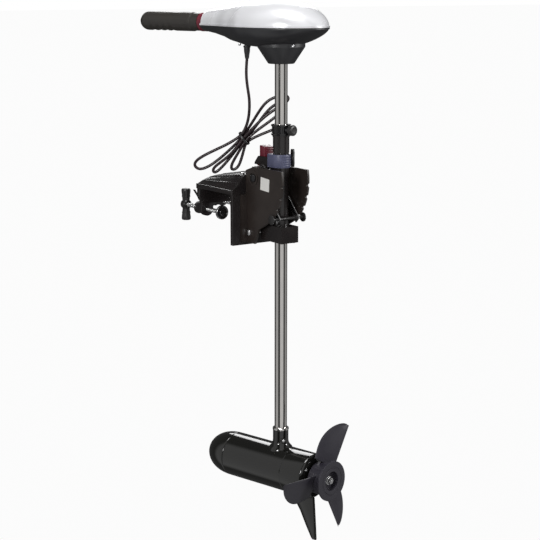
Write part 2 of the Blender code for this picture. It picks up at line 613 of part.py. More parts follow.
# ---- tiller: speed rod, ring, telescoping tube and twist grip -------------------------------------------------------
def make_grip():
    """The grip, flattened below by its finger hollows, over the telescoping tube."""
    loops = []
    stations = [GRIP_START, GRIP_START + 0.002, 0.262, 0.268] + [0.268 + 0.012 * n for n in range(1, 12)]
    stations += [0.412, 0.424, GRIP_END]
    for x in stations:
        end = max(0.0, (x - 0.412) / (GRIP_END - 0.412))
        radius = GRIP_R - 0.0015 * (x <= 0.262) - 0.0012 * (x == GRIP_START)
        drop = 0.0016 * (1 - cos(2 * pi * (x - 0.320) / 0.028)) / 2 if 0.320 <= x <= 0.404 else 0.0
        loop = []
        for n in range(24):
            t = 2 * pi * n / 24
            top_cut = end * 0.011 * max(0.0, sin(t)) + end * 0.003
            r = radius - top_cut - drop * max(0.0, -sin(t)) ** 2
            loop.append((x, r * cos(t), HANDLE_Z + r * sin(t)))
        loops.append(loop)
    grip = lofted("twist_grip", loops, grip_rubber, frame=steered, origin=(GRIP_START, 0, HANDLE_Z))
    return cut(grip, rod("way", HANDLE_TUBE_R + GAP, GRIP_START - 0.01, GRIP_END - 0.012, grip_rubber, "X",
                         at=(0, 0, HANDLE_Z), sides=24, frame=steered))


handle_at = (0, 0, HANDLE_Z)
make_grip()
rod("handle_tube", HANDLE_TUBE_R, 0.100, GRIP_END - 0.0125, stainless, "X", bore=SPEED_ROD_R + RUNNING, at=handle_at,
    sides=24, frame=steered)
rod("speed_rod", SPEED_ROD_R, 0.0305, 0.300, zinc_steel, "X", at=handle_at, sides=16, frame=steered)
rod("handle_ring", GRIP_R - 0.0005, HEAD_FRONT + 0.001, HEAD_FRONT + 0.001 + RING_LENGTH, red_plastic, "X",
    bore=HANDLE_TUBE_R + RUNNING, at=handle_at, sides=ROUND, frame=steered)


# ---- motor -----------------------------------------------------------------------------------------------------------
def nose_radius(x):
    share = (x - NOSE_SEAM) / (NOSE_TIP - NOSE_SEAM)
    return MOTOR_R * sqrt(max(0.0, 1 - share ** 2.3))


def make_motor():
    inner = MOTOR_R - MOTOR_WALL
    stations = [NOSE_SEAM + (NOSE_TIP - NOSE_SEAM) * sin(pi / 2 * n / 8) for n in range(9)]
    nose = [(nose_radius(x), x) for x in stations[:-1]] + [(0, NOSE_TIP)]
    hollow = [(0, NOSE_TIP - MOTOR_WALL)]
    hollow += [(nose_radius(x) - MOTOR_WALL, x - MOTOR_WALL * 0.4) for x in reversed(stations[:6])]
    hollow[-1] = (inner, NOSE_SEAM)
    turned("motor_nose", hollow + nose, black_paint, "X", frame=steered)
    can = rod("motor_can", MOTOR_R, BELL_SEAM + GAP, NOSE_SEAM - GAP, black_paint, "X", frame=steered)
    bell = [(0.0062, MOTOR_AFT), (0.034, MOTOR_AFT), (0.040, MOTOR_AFT + 0.001), (MOTOR_R - 0.002, MOTOR_AFT + 0.002),
            (MOTOR_R, MOTOR_AFT + 0.005), (MOTOR_R, BELL_SEAM), (inner, BELL_SEAM), (inner, MOTOR_AFT + 0.012),
            (BEARING_R + GAP, MOTOR_AFT + 0.012), (BEARING_R + GAP, REAR_BEARING - GAP),
            (SEAL_R + GAP, REAR_BEARING - GAP), (SEAL_R + GAP, MOTOR_AFT + 0.0035), (0.0062, MOTOR_AFT + 0.0035)]
    bell = turned("rear_bell", bell, black_paint, "X", frame=steered)
    socket = rod("socket", SOCKET_R, MOTOR_R - 0.006, SOCKET_TOP, black_paint, frame=steered, sides=24)
    flare = turned("flare", [(0, MOTOR_R - 0.012), (0.027, MOTOR_R - 0.012), (0.020, MOTOR_R + 0.006), (0, MOTOR_R + 0.006)],
                   black_paint, frame=steered, sides=24)
    join(can, socket, flare)
    cut(can, rod("inside", inner, -0.1, 0.2, black_paint, "X", sides=ROUND, frame=steered))
    cut(can, rod("way", SHAFT_R + GAP, MOTOR_R + 0.0007, 0.1, black_paint, frame=steered),
        rod("way", WIRES_R + GAP, MOTOR_R - 0.02, MOTOR_R + 0.01, black_paint, frame=steered, sides=12))
    fin = [(-0.030, -MOTOR_R + 0.003), (-0.061, -0.090), (-0.093, SKEG_TIP + 0.004), (-0.098, SKEG_TIP),
           (-0.107, SKEG_TIP), (-0.1075, SKEG_TIP + 0.003), (-0.101, -MOTOR_R + 0.003)]
    skeg = lofted("skeg", [[(x, y, z) for x, z in fin] for y in (-0.003, 0.003)], black_paint, frame=steered)
    cut(skeg, rod("way", MOTOR_R + GAP, -0.2, 0.2, black_paint, "X", sides=ROUND, frame=steered))
    return bell


BEARING_R = 0.011
SEAL_R = 0.009
REAR_BEARING = MOTOR_AFT + 0.010
FRONT_BEARING = 0.118
AXLE_R = 0.005
make_motor()
rod("socket_ring", SOCKET_R - 0.0002, SOCKET_TOP + GAP, SOCKET_TOP + 0.006, stainless, bore=SHAFT_R + GAP,
    frame=steered, sides=24)
rod("rear_bearing", BEARING_R, REAR_BEARING, REAR_BEARING + 0.008, stainless, "X", bore=AXLE_R + RUNNING,
    frame=steered, sides=SMALL)
rod("shaft_seal", SEAL_R, MOTOR_AFT + 0.0038, REAR_BEARING - 0.0006, seal_rubber, "X", bore=AXLE_R + RUNNING,
    frame=steered, sides=SMALL)
carrier = MOTOR_R - MOTOR_WALL - GAP
turned("brush_carrier", [(BEARING_R + GAP, FRONT_BEARING - 0.002), (carrier, FRONT_BEARING - 0.002),
                         (carrier, FRONT_BEARING + 0.010), (AXLE_R + 0.002, FRONT_BEARING + 0.010),
                         (AXLE_R + 0.002, FRONT_BEARING + 0.0083), (BEARING_R + GAP, FRONT_BEARING + 0.0083)],
       black_plastic, "X", frame=steered)
rod("front_bearing", BEARING_R, FRONT_BEARING, FRONT_BEARING + 0.008, stainless, "X", bore=AXLE_R + RUNNING,
    frame=steered, sides=SMALL)
for label, side in (("port", 1), ("starboard", -1)):
    outer = arc((0, 0), MOTOR_R - MOTOR_WALL - GAP, -radians(62), radians(62), 10)
    inner = arc((0, 0), MOTOR_R - MOTOR_WALL - 0.008, radians(62), -radians(62), 10)
    shape = [(side * a, b) for a, b in outer + inner]
    prism("magnet_" + label, shape, -0.032, 0.070, "X", magnet_ferrite, frame=steered)
    low, high = sorted((side * 0.0125, side * 0.026))
    block("brush_" + label, (0.094, FRONT_BEARING - 0.0023), (low, high), (-0.005, 0.005), magnet_ferrite,
          frame=steered)


# ---- rotor and propeller ---------------------------------------------------------------------------------------------
def blade_loops(angle):
    """Sections of one blade from root to tip. The leading edge is curved and the trailing edge straight."""
    root, count = HUB_R - 0.004, 8
    middle = (HUB_FRONT + HUB_AFT) / 2 + 0.003
    loops = []
    for n in range(count + 1):
        share = n / count
        radius = root + (PROP_R - root) * share
        lead = 0.042 * sqrt(max(0.0, 1 - share ** 2.6)) + 0.010 * sin(pi * share) - 0.004 * share
        trail = 0.015 - 0.004 * share
        thick = 0.0034 * (1 - share) + 0.0011
        pitch = BLADE_PITCH * (1 - 0.35 * share)
        loop = []
        for k in range(10):
            t = 2 * pi * k / 10
            along = -trail + max(lead + trail, 0.003) * (1 + cos(t)) / 2
            off = thick * sin(t)
            side = along * cos(pitch) - off * sin(pitch)
            fore = along * sin(pitch) + off * cos(pitch)
            # seen from aft, the leading edge is counter-clockwise of the trailing edge
            loop.append((middle + fore, side * cos(angle) + radius * sin(angle),
                         radius * cos(angle) - side * sin(angle)))
        loops.append(loop)
    return loops


def make_propeller():
    hub = [(0.0055, HUB_FRONT), (HUB_R - 0.004, HUB_FRONT), (HUB_R, HUB_FRONT - 0.004), (HUB_R, HUB_AFT + 0.010),
           (HUB_FLANGE_R - 0.002, HUB_AFT + 0.006), (HUB_FLANGE_R, HUB_AFT + 0.004), (HUB_FLANGE_R, HUB_AFT + 0.001),
           (HUB_FLANGE_R - 0.001, HUB_AFT), (0.0215, HUB_AFT), (0.0215, HUB_AFT + 0.012), (0.0055, HUB_AFT + 0.012)]
    prop = turned("propeller", hub, prop_plastic, "X", frame=steered)
    for n in range(BLADES):
        join(prop, lofted("blade", blade_loops(BLADE_LEAN + n * 2 * pi / BLADES), prop_plastic, frame=steered))
    pin_way = rod("way", 0.0024, -0.0165, 0.0165, prop_plastic, "Z", at=(DRIVE_PIN_X, 0, 0), sides=12, frame=steered)
    slot = block("slot", (DRIVE_PIN_X, HUB_FRONT + 0.01), (-0.0024, 0.0024), (-0.0165, 0.0165), prop_plastic,
                 frame=steered)
    cut(prop, pin_way, slot)


DRIVE_PIN_X = HUB_FRONT - 0.006
make_propeller()
axle = [(0, -0.152), (0.0035, -0.152), (0.0035, HUB_AFT + 0.012), (AXLE_R, HUB_AFT + 0.012), (AXLE_R, 0.1255),
        (0, 0.1255)]
axle = turned("motor_axle", axle, stainless, "X", sides=SMALL, frame=steered)
cut(axle, rod("way", 0.0022, -0.02, 0.02, stainless, "Z", at=(DRIVE_PIN_X, 0, 0), sides=12, frame=steered))
rod("drive_pin", 0.0019, -0.0160, 0.0160, stainless, "Z", at=(DRIVE_PIN_X, 0, 0), sides=12, frame=steered)
rod("armature", 0.036, -0.030, 0.068, zinc_steel, "X", bore=AXLE_R + GAP, sides=24, frame=steered)
rod("commutator", 0.012, 0.090, FRONT_BEARING - 0.004, copper, "X", bore=AXLE_R + GAP, sides=24, frame=steered)
rod("prop_washer", 0.010, HUB_AFT + 0.0095, HUB_AFT + 0.0117, stainless, "X", bore=0.0038, sides=SMALL, frame=steered)
rod("prop_nut", 0.0075, HUB_AFT + 0.0022, HUB_AFT + 0.0092, stainless, "X", bore=0.0043, sides=6, frame=steered)


# ---- battery lead, hanging from the head in a tied hank -----------------------------------------------------------
HANK_AT = Vector((SHAFT_X + 0.1236, 0.016, MOTOR_Z + 0.7392))
HANK_ALONG = Vector((0.576, 0.534, -0.619)).normalized()
HANK_DOWN = Vector((-0.408, -0.469, -0.783)).normalized()
HANK_OUT = HANK_ALONG.cross(HANK_DOWN).normalized()


def hank(along, down, out):
    """A point of the hank in millimetres from its tie: along its length, down across it and out of its plane."""
    return HANK_AT + (HANK_ALONG * along + HANK_DOWN * down + HANK_OUT * out) * 0.001


def smooth_path(points, steps):
    """A curve through all the points, as a list of closer ones."""
    points = [Vector(p) for p in points]
    padded = [2 * points[0] - points[1]] + points + [2 * points[-1] - points[-2]]
    path = []
    for a, b, c, d in zip(padded, padded[1:], padded[2:], padded[3:]):
        for n in range(steps):
            t = n / steps
            path.append(0.5 * (2 * b + (c - a) * t + (2 * a - 5 * b + 4 * c - d) * t * t
                               + (3 * b - a - 3 * c + d) * t * t * t))
    return path + [points[-1]]


def cord_tube(name, path, radius, material):
    """A round tube along a path, as a curve with filled caps."""
    curve = bpy.data.curves.new(name, "CURVE")
    curve.dimensions = "3D"
    curve.bevel_depth = radius
    curve.bevel_resolution = 2
    curve.use_fill_caps = True
    spline = curve.splines.new("POLY")
    spline.points.add(len(path) - 1)
    for point, place_at in zip(spline.points, path):
        point.co = (*place_at, 1)
    tube = bpy.data.objects.new(name, curve)
    bpy.context.collection.objects.link(tube)
    tube.data.materials.append(material)
    return tube


def make_lead():
    """The lead hangs from its gland to the hank, with the slight waves of a cable that was once coiled."""
    gland = Vector((SHAFT_X + GLAND_X * cos(STEER_TURN), GLAND_X * sin(STEER_TURN), 0))
    sag = [(0.975, 0, 0), (0.955, 0, 0), (0.934, 0, 0), (0.915, 0.02, 0), (0.884, 0.15, -0.001),
           (0.850, 0.34, 0.004), (0.826, 0.49, 0.009), (0.7925, 0.69, 0.010), (0.769, 0.86, 0.005)]
    sideways = Vector((-0.5736, -0.819, 0))
    route = []
    for height, share, wave in sag:
        point = gland.lerp(HANK_AT, share) + sideways * wave
        route.append((point.x, point.y, up(height)))
    return cord_tube("battery_lead", smooth_path(route, 2), LEAD_R, lead_rubber)


def make_hank():
    """The outer shape of the folded and tied rest of the lead: loops that fan out above and below the tie."""
    upper_left = [(-20, -14), (-60, -28), (-92, -35.5), (-118, -32.5)]
    top_end = [(-135, -23), (-143, -10), (-138, -1)]
    right = [(-118, 5), (-106, 24), (-88, 29), (-66, 26), (-30, 19), (0, 16), (16, 26)]
    low_loops = [(32, 38), (46, 47), (64, 49), (72, 40), (80, 26), (100, 29), (109, 20), (106, 8)]
    big_loop = [(124, 2), (134, -10), (133, -22), (120, -30), (90, -27.5), (47, -17.5), (14, -13)]
    outline = upper_left + top_end + right + low_loops + big_loop
    loops = [[hank(along, down, out) for along, down in outline] for out in (-8.5, 8.5)]
    return lofted("lead_hank", loops, lead_rubber)


make_lead()
make_hank()
for sign, label, material in ((1, "positive", red_plastic), (-1, "negative", black_plastic)):
    barrel = [hank(-78 - 5 * n, 31 + 1.2 * n, sign * 3.2 - 4) for n in range(3)]
    cord_tube("terminal_" + label, barrel, 0.0024, material)
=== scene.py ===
import json
from functools import partial
from math import cos, pi, radians, sin, sqrt

import bmesh
import bpy
from mathutils import Matrix, Vector

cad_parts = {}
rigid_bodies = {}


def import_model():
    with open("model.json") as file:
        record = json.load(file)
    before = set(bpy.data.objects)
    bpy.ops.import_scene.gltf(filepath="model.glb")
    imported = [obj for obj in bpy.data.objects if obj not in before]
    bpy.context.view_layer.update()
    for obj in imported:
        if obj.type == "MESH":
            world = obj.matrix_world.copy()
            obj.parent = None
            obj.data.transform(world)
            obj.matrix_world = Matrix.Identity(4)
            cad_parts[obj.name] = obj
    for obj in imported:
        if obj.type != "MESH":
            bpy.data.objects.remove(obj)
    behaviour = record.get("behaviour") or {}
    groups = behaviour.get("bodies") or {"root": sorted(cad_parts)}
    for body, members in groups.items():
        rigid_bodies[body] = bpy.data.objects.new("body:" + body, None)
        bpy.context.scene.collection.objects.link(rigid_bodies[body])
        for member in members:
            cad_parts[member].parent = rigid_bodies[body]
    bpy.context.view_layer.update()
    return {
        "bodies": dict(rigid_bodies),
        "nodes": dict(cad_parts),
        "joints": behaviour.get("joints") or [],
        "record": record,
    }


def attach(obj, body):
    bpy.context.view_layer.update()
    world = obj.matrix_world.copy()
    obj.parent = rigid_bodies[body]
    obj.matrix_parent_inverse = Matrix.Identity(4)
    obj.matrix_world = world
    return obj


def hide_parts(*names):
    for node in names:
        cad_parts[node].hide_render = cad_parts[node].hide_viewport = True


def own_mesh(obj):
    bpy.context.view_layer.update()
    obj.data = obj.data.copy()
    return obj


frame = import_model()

# Camera, soft studio light and a plain pale floor. The motor hangs above the floor, as it does when its bracket is
# clamped to a boat. The origin is on the bracket's forward face, level with the clamp screws.
SHAFT_AT = Vector((-0.095, 0, -0.568))
FLOOR_Z, FLOOR_HALF = -0.745, 60
camera_data = bpy.data.cameras.new("camera")
camera_data.lens = 98.67
camera_data.sensor_width = 36
camera = bpy.data.objects.new("camera", camera_data)
camera.location = (-2.7327, 1.847, 0.513)
heading = radians(-35 + 0.43)
camera.rotation_euler = (radians(90 - 11), 0, heading - pi / 2)
bpy.context.collection.objects.link(camera)
bpy.context.scene.camera = camera
bpy.context.scene.view_settings.view_transform = "Standard"


def area_light(name, location, size, watts, colour=(1, 1, 1)):
    """A square soft light that faces the middle of the motor."""
    data = bpy.data.lights.new(name, "AREA")
    data.size = size
    data.energy = watts
    data.color = colour
    light = bpy.data.objects.new(name, data)
    light.location = location
    towards = Vector((-0.05, 0, 0)) - Vector(location)
    light.rotation_euler = towards.to_track_quat("-Z", "Y").to_euler()
    bpy.context.collection.objects.link(light)


area_light("overhead", (-0.4, 0.3, 2.8), 1.3, 62)
area_light("key", (-1.4, 3.2, 0.95), 0.8, 44)
area_light("side", (-2.4, -2.6, 0.9), 0.7, 52)
area_light("back", (2.4, -1.6, 1.6), 1.4, 30)
# The studio's walls are pale, with darker gaps between them that show as bands in the polished pieces.
WALL_BANDS = ((0.03, 1.1), (0.05, 0.06), (0.108, 0.06), (0.128, 0.65), (0.225, 0.65), (0.262, 0.1), (0.4, 0.1),
              (0.6, 0.14), (0.635, 0.85), (0.755, 0.85), (0.775, 0.07), (0.855, 0.07), (0.875, 1.2))
WALL_END, WALL_STRENGTH = 1.15, 0.62


def shader_node(tree, kind, **values):
    """A new shader node with inputs set by name, where an underscore stands for a space."""
    node = tree.nodes.new("ShaderNode" + kind)
    for name, value in values.items():
        node.inputs[name.replace("_", " ")].default_value = value
    return node


def wire(tree, *links):
    """Joins sockets, each link given as (node, its output, node, its input)."""
    for source, output, target, entry in links:
        tree.links.new(source.outputs[output], target.inputs[entry])


world = bpy.data.worlds.new("studio")
world.use_nodes = True
sky = world.node_tree
wall = sky.nodes["Background"]
wall.inputs["Strength"].default_value = WALL_STRENGTH
sky_turn = shader_node(sky, "TexGradient")
sky_turn.gradient_type = "RADIAL"
sky_bands = shader_node(sky, "ValToRGB")
bands = sky_bands.color_ramp
for end in bands.elements:
    end.color = (WALL_END, WALL_END, WALL_END, 1)
for at, level in WALL_BANDS:
    bands.elements.new(at).color = (level, level, level, 1)
sky_mix = shader_node(sky, "MixShader")
wire(sky, (shader_node(sky, "TexCoord"), "Generated", sky_turn, "Vector"), (sky_turn, "Fac", sky_bands, "Fac"),
     (sky_bands, "Color", wall, "Color"), (shader_node(sky, "LightPath"), "Is Camera Ray", sky_mix, "Fac"),
     (wall, "Background", sky_mix, 1), (shader_node(sky, "Background", Color=(1, 1, 1, 1)), "Background", sky_mix, 2),
     (sky_mix, "Shader", sky.nodes["World Output"], "Surface"))
bpy.context.scene.world = world

floor_mesh = bpy.data.meshes.new("floor")
floor_corners = ((-1, -1), (1, -1), (1, 1), (-1, 1))
floor_mesh.from_pydata([(x * FLOOR_HALF, y * FLOOR_HALF, FLOOR_Z) for x, y in floor_corners], [], [(0, 1, 2, 3)])
floor = bpy.data.objects.new("floor", floor_mesh)
bpy.context.collection.objects.link(floor)
floor_look = bpy.data.materials.new("pale_floor")
floor_look.use_nodes = True
floor_tree = floor_look.node_tree
floor_tree.nodes.remove(floor_tree.nodes["Principled BSDF"])
floor_mix = shader_node(floor_tree, "MixShader")
wire(floor_tree, (shader_node(floor_tree, "LightPath"), "Is Camera Ray", floor_mix, "Fac"),
     (shader_node(floor_tree, "BsdfTransparent"), "BSDF", floor_mix, 1), (shader_node(floor_tree, "Emission",
        Color=(0.97, 0.97, 0.97, 1)), "Emission", floor_mix, 2), (floor_mix, "Shader",
        floor_tree.nodes["Material Output"], "Surface"))
floor_mesh.materials.append(floor_look)

# Battery lead: a flexible two-core cable in a black PVC sheath. It hangs from a gland under the head, and the rest
# of it is folded into a hank of loops with a tie round its middle. Two crimped terminals end it.
GAP = 0.0003
STEER_TURN = radians(13)
GLAND_X, GLAND_TOP, GLAND_END, GLAND_MOUTH = 0.1014, 0.9585, 0.934, 0.916
LEAD_R = 0.00325
HANK_AT = SHAFT_AT + Vector((0.1236, 0.016, 0.7392))
HANK_ALONG = Vector((0.576, 0.534, -0.619)).normalized()
HANK_DOWN = Vector((-0.408, -0.469, -0.783)).normalized()
HANK_OUT = HANK_ALONG.cross(HANK_DOWN).normalized()
STEERED = Matrix.Translation(SHAFT_AT) @ Matrix.Rotation(STEER_TURN, 4, "Z")
BESIDE = Vector((-0.5736, -0.819, 0))


def hank(along, down, out):
    """A point of the hank, in millimetres from its tie."""
    return HANK_AT + (HANK_ALONG * along + HANK_DOWN * down + HANK_OUT * out) * 0.001


def smooth_path(points, steps):
    """A curve through all the points, as a list of closer ones."""
    points = [Vector(p) for p in points]
    padded = [2 * points[0] - points[1]] + points + [2 * points[-1] - points[-2]]
    path = []
    for a, b, c, d in zip(padded, padded[1:], padded[2:], padded[3:]):
        for n in range(steps):
            t = n / steps
            path.append(0.5 * (2 * b + (c - a) * t + (2 * a - 5 * b + 4 * c - d) * t * t
                               + (3 * b - a - 3 * c + d) * t * t * t))
    return path + [points[-1]]


def eased(path, passes):
    """The same path with its tight corners rounded, as a stiff cable would lie."""
    for _ in range(passes):
        path = [path[0]] + [(a + 2 * b + c) / 4 for a, b, c in zip(path, path[1:], path[2:])] + [path[-1]]
    return path


def new_piece(name, points, faces, body, look=None, sharp=35):
    """One closed mesh object that rides on a body and takes its finish from a material slot."""
    mesh = bpy.data.meshes.new(name)
    mesh.from_pydata([tuple(p) for p in points], [], faces)
    form = bmesh.new()
    form.from_mesh(mesh)
    bmesh.ops.recalc_face_normals(form, faces=form.faces)
    form.to_mesh(mesh)
    form.free()
    mesh.shade_smooth()
    mesh.set_sharp_from_angle(angle=radians(sharp))
    made = bpy.data.objects.new(name, mesh)
    bpy.context.collection.objects.link(made)
    if look:
        mesh.materials.append(look)
    if body:
        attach(made, body)
    return made


def swept(name, path, radius, body, look, sides=12):
    """A round bar along a path, turned as little as possible from each ring to the next."""
    across = (path[1] - path[0]).orthogonal().normalized()
    points, faces = [], []
    for n, centre in enumerate(path):
        ahead = (path[min(n + 1, len(path) - 1)] - path[max(n - 1, 0)]).normalized()
        across = (across - ahead * across.dot(ahead)).normalized()
        beside = ahead.cross(across)
        for k in range(sides):
            t = 2 * pi * k / sides
            points.append(centre + (across * cos(t) + beside * sin(t)) * radius)
    for n in range(len(path) - 1):
        for k in range(sides):
            a, b = n * sides + k, n * sides + (k + 1) % sides
            faces.append((a, b, b + sides, a + sides))
    faces += [tuple(range(sides)), tuple(range(len(points) - sides, len(points)))]
    return new_piece(name, points, faces, body, look)


def moulded(name, colour, roughness, metallic=0.0, grain=900.0, depth=0.04, patches=9.0, spread=0.18, coat=0.0,
            tint=None):
    """A surface with fine grain in its relief, soft patches in its gloss and a slight drift in its colour."""
    look = bpy.data.materials.new(name)
    look.use_nodes = True
    tree = look.node_tree
    shader = tree.nodes["Principled BSDF"]
    for entry, value in (("Metallic", metallic), ("Coat Weight", coat), ("Coat Roughness", 0.12)):
        shader.inputs[entry].default_value = value
    place = shader_node(tree, "TexCoord")
    cloud = shader_node(tree, "TexNoise", Scale=patches, Detail=5)
    fine = shader_node(tree, "TexNoise", Scale=grain, Detail=2)
    gloss = shader_node(tree, "MapRange", From_Min=0.3, From_Max=0.7, To_Min=roughness * (1 - spread),
                        To_Max=min(1.0, roughness * (1 + spread)))
    far = tint or tuple(c * 0.82 for c in colour)
    mix = shader_node(tree, "Mix")
    mix.data_type = "RGBA"
    mix.inputs["A"].default_value = (*colour, 1)
    mix.inputs["B"].default_value = (*far, 1)
    relief = shader_node(tree, "Bump", Strength=depth, Distance=0.0004)
    wire(tree, (place, "Object", cloud, "Vector"), (place, "Object", fine, "Vector"), (cloud, "Fac", gloss, "Value"))
    wire(tree, (gloss, "Result", shader, "Roughness"), (cloud, "Fac", mix, "Factor"))
    wire(tree, (mix, "Result", shader, "Base Color"), (fine, "Fac", relief, "Height"))
    wire(tree, (relief, "Normal", shader, "Normal"))
    return look


sheath = moulded("cable_sheath", (0.02, 0.017, 0.018), 0.28, grain=260, depth=0.05, patches=30,
                 tint=(0.03, 0.012, 0.016))
nylon_black = moulded("black_nylon", (0.018, 0.017, 0.019), 0.38, grain=1400, depth=0.08)
gland_axis = SHAFT_AT + Vector((GLAND_X * cos(STEER_TURN), GLAND_X * sin(STEER_TURN), 0))
sag = [(0.944, 0, 0), (0.93, 0, 0), (GLAND_MOUTH, 0.003, 0), (0.884, 0.15, -0.001), (0.85, 0.34, 0.004),
       (0.826, 0.49, 0.009), (0.7925, 0.69, 0.01), (0.765, 0.86, 0.005)]
route = []
for height, share, wave in sag:
    point = gland_axis.lerp(HANK_AT, share) + BESIDE * wave
    route.append(Vector((point.x, point.y, SHAFT_AT.z + height)))
tied = [(0, -8, 1.5), (22, -9, 2), (47, -12.8, 2), (91, -22.8, 1), (118, -25.6, 0), (129, -21, -1),
        (130.5, -13.5, -1.5), (124, -3, -3), (94, 4, -6), (36, 1.5, -6.5), (0, -4, -6), (-30, -12.5, -3),
        (-70, -26, 3), (-93, -30.6, 4), (-111, -28.3, 4), (-131, -20, 4), (-138.5, -9.5, 4), (-131, -3.5, 5),
        (-110, -5, 5), (-70, -8, 6), (-30, -3.5, 6), (0, 0, 4.5), (26, 7.5, 4.5), (55, 11.7, 4), (85, 11, 3),
        (99, 12.5, 2), (104.5, 18, 0), (98, 23.5, -2), (63, 18.5, -4), (29, 10, -5.5), (0, 3.5, -4.5), (-30, -1, -4),
        (-70, -12, -4), (-95, -15, -5), (-114, -12, -5), (-123, -4, -5), (-113, 4.5, -4), (-81, 8, -2), (-34, 5.5, 1),
        (0, 7.8, 3), (24, 16.6, 3), (50, 26.2, 3), (62, 32.5, 2), (67, 39, 0), (61, 44, -1), (48, 42, -2),
        (30, 30.5, -3), (15, 19.5, -4), (0, 11.5, -4.5), (-30, 17, -4), (-55, 24, -4), (-77, 30.2, -4)]
lead_path = eased(smooth_path(route + [hank(*point) for point in tied], 6), 9)
lead = swept("battery_lead_cable", lead_path, LEAD_R, "shaft", sheath, sides=14)
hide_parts("battery_lead", "lead_hank")
TIE_SIDES = 40
tie_loops = []
for half_w, half_d, along in ((17.0, 12.5, -2.4), (17.4, 12.9, -2.0), (17.4, 12.9, 2.0), (17.0, 12.5, 2.4),
                              (16.2, 11.7, 2.4), (16.2, 11.7, -2.4)):
    turns = [2 * pi * k / TIE_SIDES for k in range(TIE_SIDES)]
    tie_loops.append([hank(along, 1.8 + half_w * cos(t), -0.5 + half_d * sin(t)) for t in turns])
tie_points = [p for loop in tie_loops for p in loop]
tie_faces = []
for n in range(len(tie_loops)):
    a, b = n * TIE_SIDES, (n + 1) % len(tie_loops) * TIE_SIDES
    for k in range(TIE_SIDES):
        after = (k + 1) % TIE_SIDES
        tie_faces.append((a + k, a + after, b + after, b + k))
cable_tie = new_piece("cable_tie", tie_points, tie_faces, "shaft", nylon_black)
for soft_piece in (lead, cable_tie):
    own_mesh(soft_piece)

# Bracket: a hook moulded in black glass-filled nylon that drops over the boat's transom, with two clamp jaws ahead,
# and two notched side plates behind that carry the tilting yoke on a zinc-plated bolt.


def piece(name, points, faces, frame=None):
    """One closed shape that isn't on its body yet. Points are in the frame's own axes where a frame is given."""
    if frame:
        points = [frame @ Vector(p) for p in points]
    return new_piece(name, points, faces, None)


def place(along, radial, turn, axis):
    """A point at a distance along an axis and out from it; axis is X, Y or Z."""
    c, s = radial * cos(turn), radial * sin(turn)
    return {"X": (along, c, s), "Y": (s, along, c), "Z": (c, s, along)}[axis]


def turned(name, profile, axis="Z", at=(0, 0, 0), sides=64, **where):
    """A piece turned on a lathe from (radius, distance along) pairs. A profile that starts and ends on the axis is
    solid, and any other is joined up into a ring."""
    solid = profile[0][0] < 1e-9
    flat_start = solid and profile[0][1] == profile[1][1]
    flat_end = solid and profile[-1][1] == profile[-2][1]
    profile = profile[int(flat_start):len(profile) - int(flat_end)]
    points, rings = [], []
    for radius, along in profile:
        first = len(points)
        count = sides if radius > 1e-9 else 1
        points += [place(along, radius, 2 * pi * n / count, axis) for n in range(count)]
        rings.append(range(first, first + count))
    faces = [list(rings[0])] * flat_start + [list(rings[-1])] * flat_end
    pairs = list(zip(rings, rings[1:])) + [(rings[-1], rings[0])] * (not solid)
    for low, high in pairs:
        for n in range(sides):
            corner = [low[n % len(low)], low[(n + 1) % len(low)], high[(n + 1) % len(high)], high[n % len(high)]]
            faces.append(list(dict.fromkeys(corner)))
    points = [tuple(a + b for a, b in zip(p, at)) for p in points]
    return piece(name, points, faces, **where)


def rod(name, radius, low, high, axis="Z", bore=0.0, chamfer=0.0, **more):
    """A round bar, or a tube if it has a bore."""
    c = chamfer
    outer = [(radius - c, low), (radius, low + c), (radius, high - c), (radius - c, high)]
    outer = outer if c else [(radius, low), (radius, high)]
    ends = [(bore, high), (bore, low)] if bore else [(0, high)]
    profile = outer + ends if bore else [(0, low)] + outer + ends
    return turned(name, profile, axis, **more)


def lofted(name, loops, **where):
    """A solid through a row of loops that have the same number of points."""
    count = len(loops[0])
    points = [p for loop in loops for p in loop]
    faces = [list(range(count)), list(range(len(points) - count, len(points)))]
    for n in range(len(loops) - 1):
        for k in range(count):
            a, b = n * count + k, n * count + (k + 1) % count
            faces.append([a, b, b + count, a + count])
    return piece(name, points, faces, **where)


def prism(name, outline, low, high, axis, **where):
    """An outline extruded along an axis. Outline points are (X, Z) for Y, (X, Y) for Z and (Y, Z) for X."""
    def put(a, b, along):
        return {"X": (along, a, b), "Y": (a, along, b), "Z": (a, b, along)}[axis]
    return lofted(name, [[put(a, b, t) for a, b in outline] for t in (low, high)], **where)


def block(name, x, y, z, **where):
    """A box from three (low, high) pairs."""
    return prism(name, [(x[0], y[0]), (x[1], y[0]), (x[1], y[1]), (x[0], y[1])], z[0], z[1], "Z", **where)


def based(base, *profile):
    """A profile whose second values are given from a base."""
    return [(a, base + b) for a, b in profile]


def arc(centre, radius, start, end, steps):
    """Points round a centre from one angle to another, in radians."""
    turns = [start + (end - start) * n / steps for n in range(steps + 1)]
    return [(centre[0] + radius * cos(t), centre[1] + radius * sin(t)) for t in turns]


def combine(target, tool, operation):
    """Joins a tool shape to a piece, or cuts it out, and removes the tool."""
    modifier = target.modifiers.new(tool.name, "BOOLEAN")
    modifier.operation = operation
    modifier.object = tool
    modifier.solver = "EXACT"
    bpy.context.view_layer.update()
    graph = bpy.context.evaluated_depsgraph_get()
    result = bpy.data.meshes.new_from_object(target.evaluated_get(graph))
    target.modifiers.clear()
    target.data = result
    bpy.data.objects.remove(tool, do_unlink=True)
    return target


def join(target, *tools):
    for tool in tools:
        combine(target, tool, "UNION")
    return target


def cut(target, *tools):
    for tool in tools:
        combine(target, tool, "DIFFERENCE")
    return target


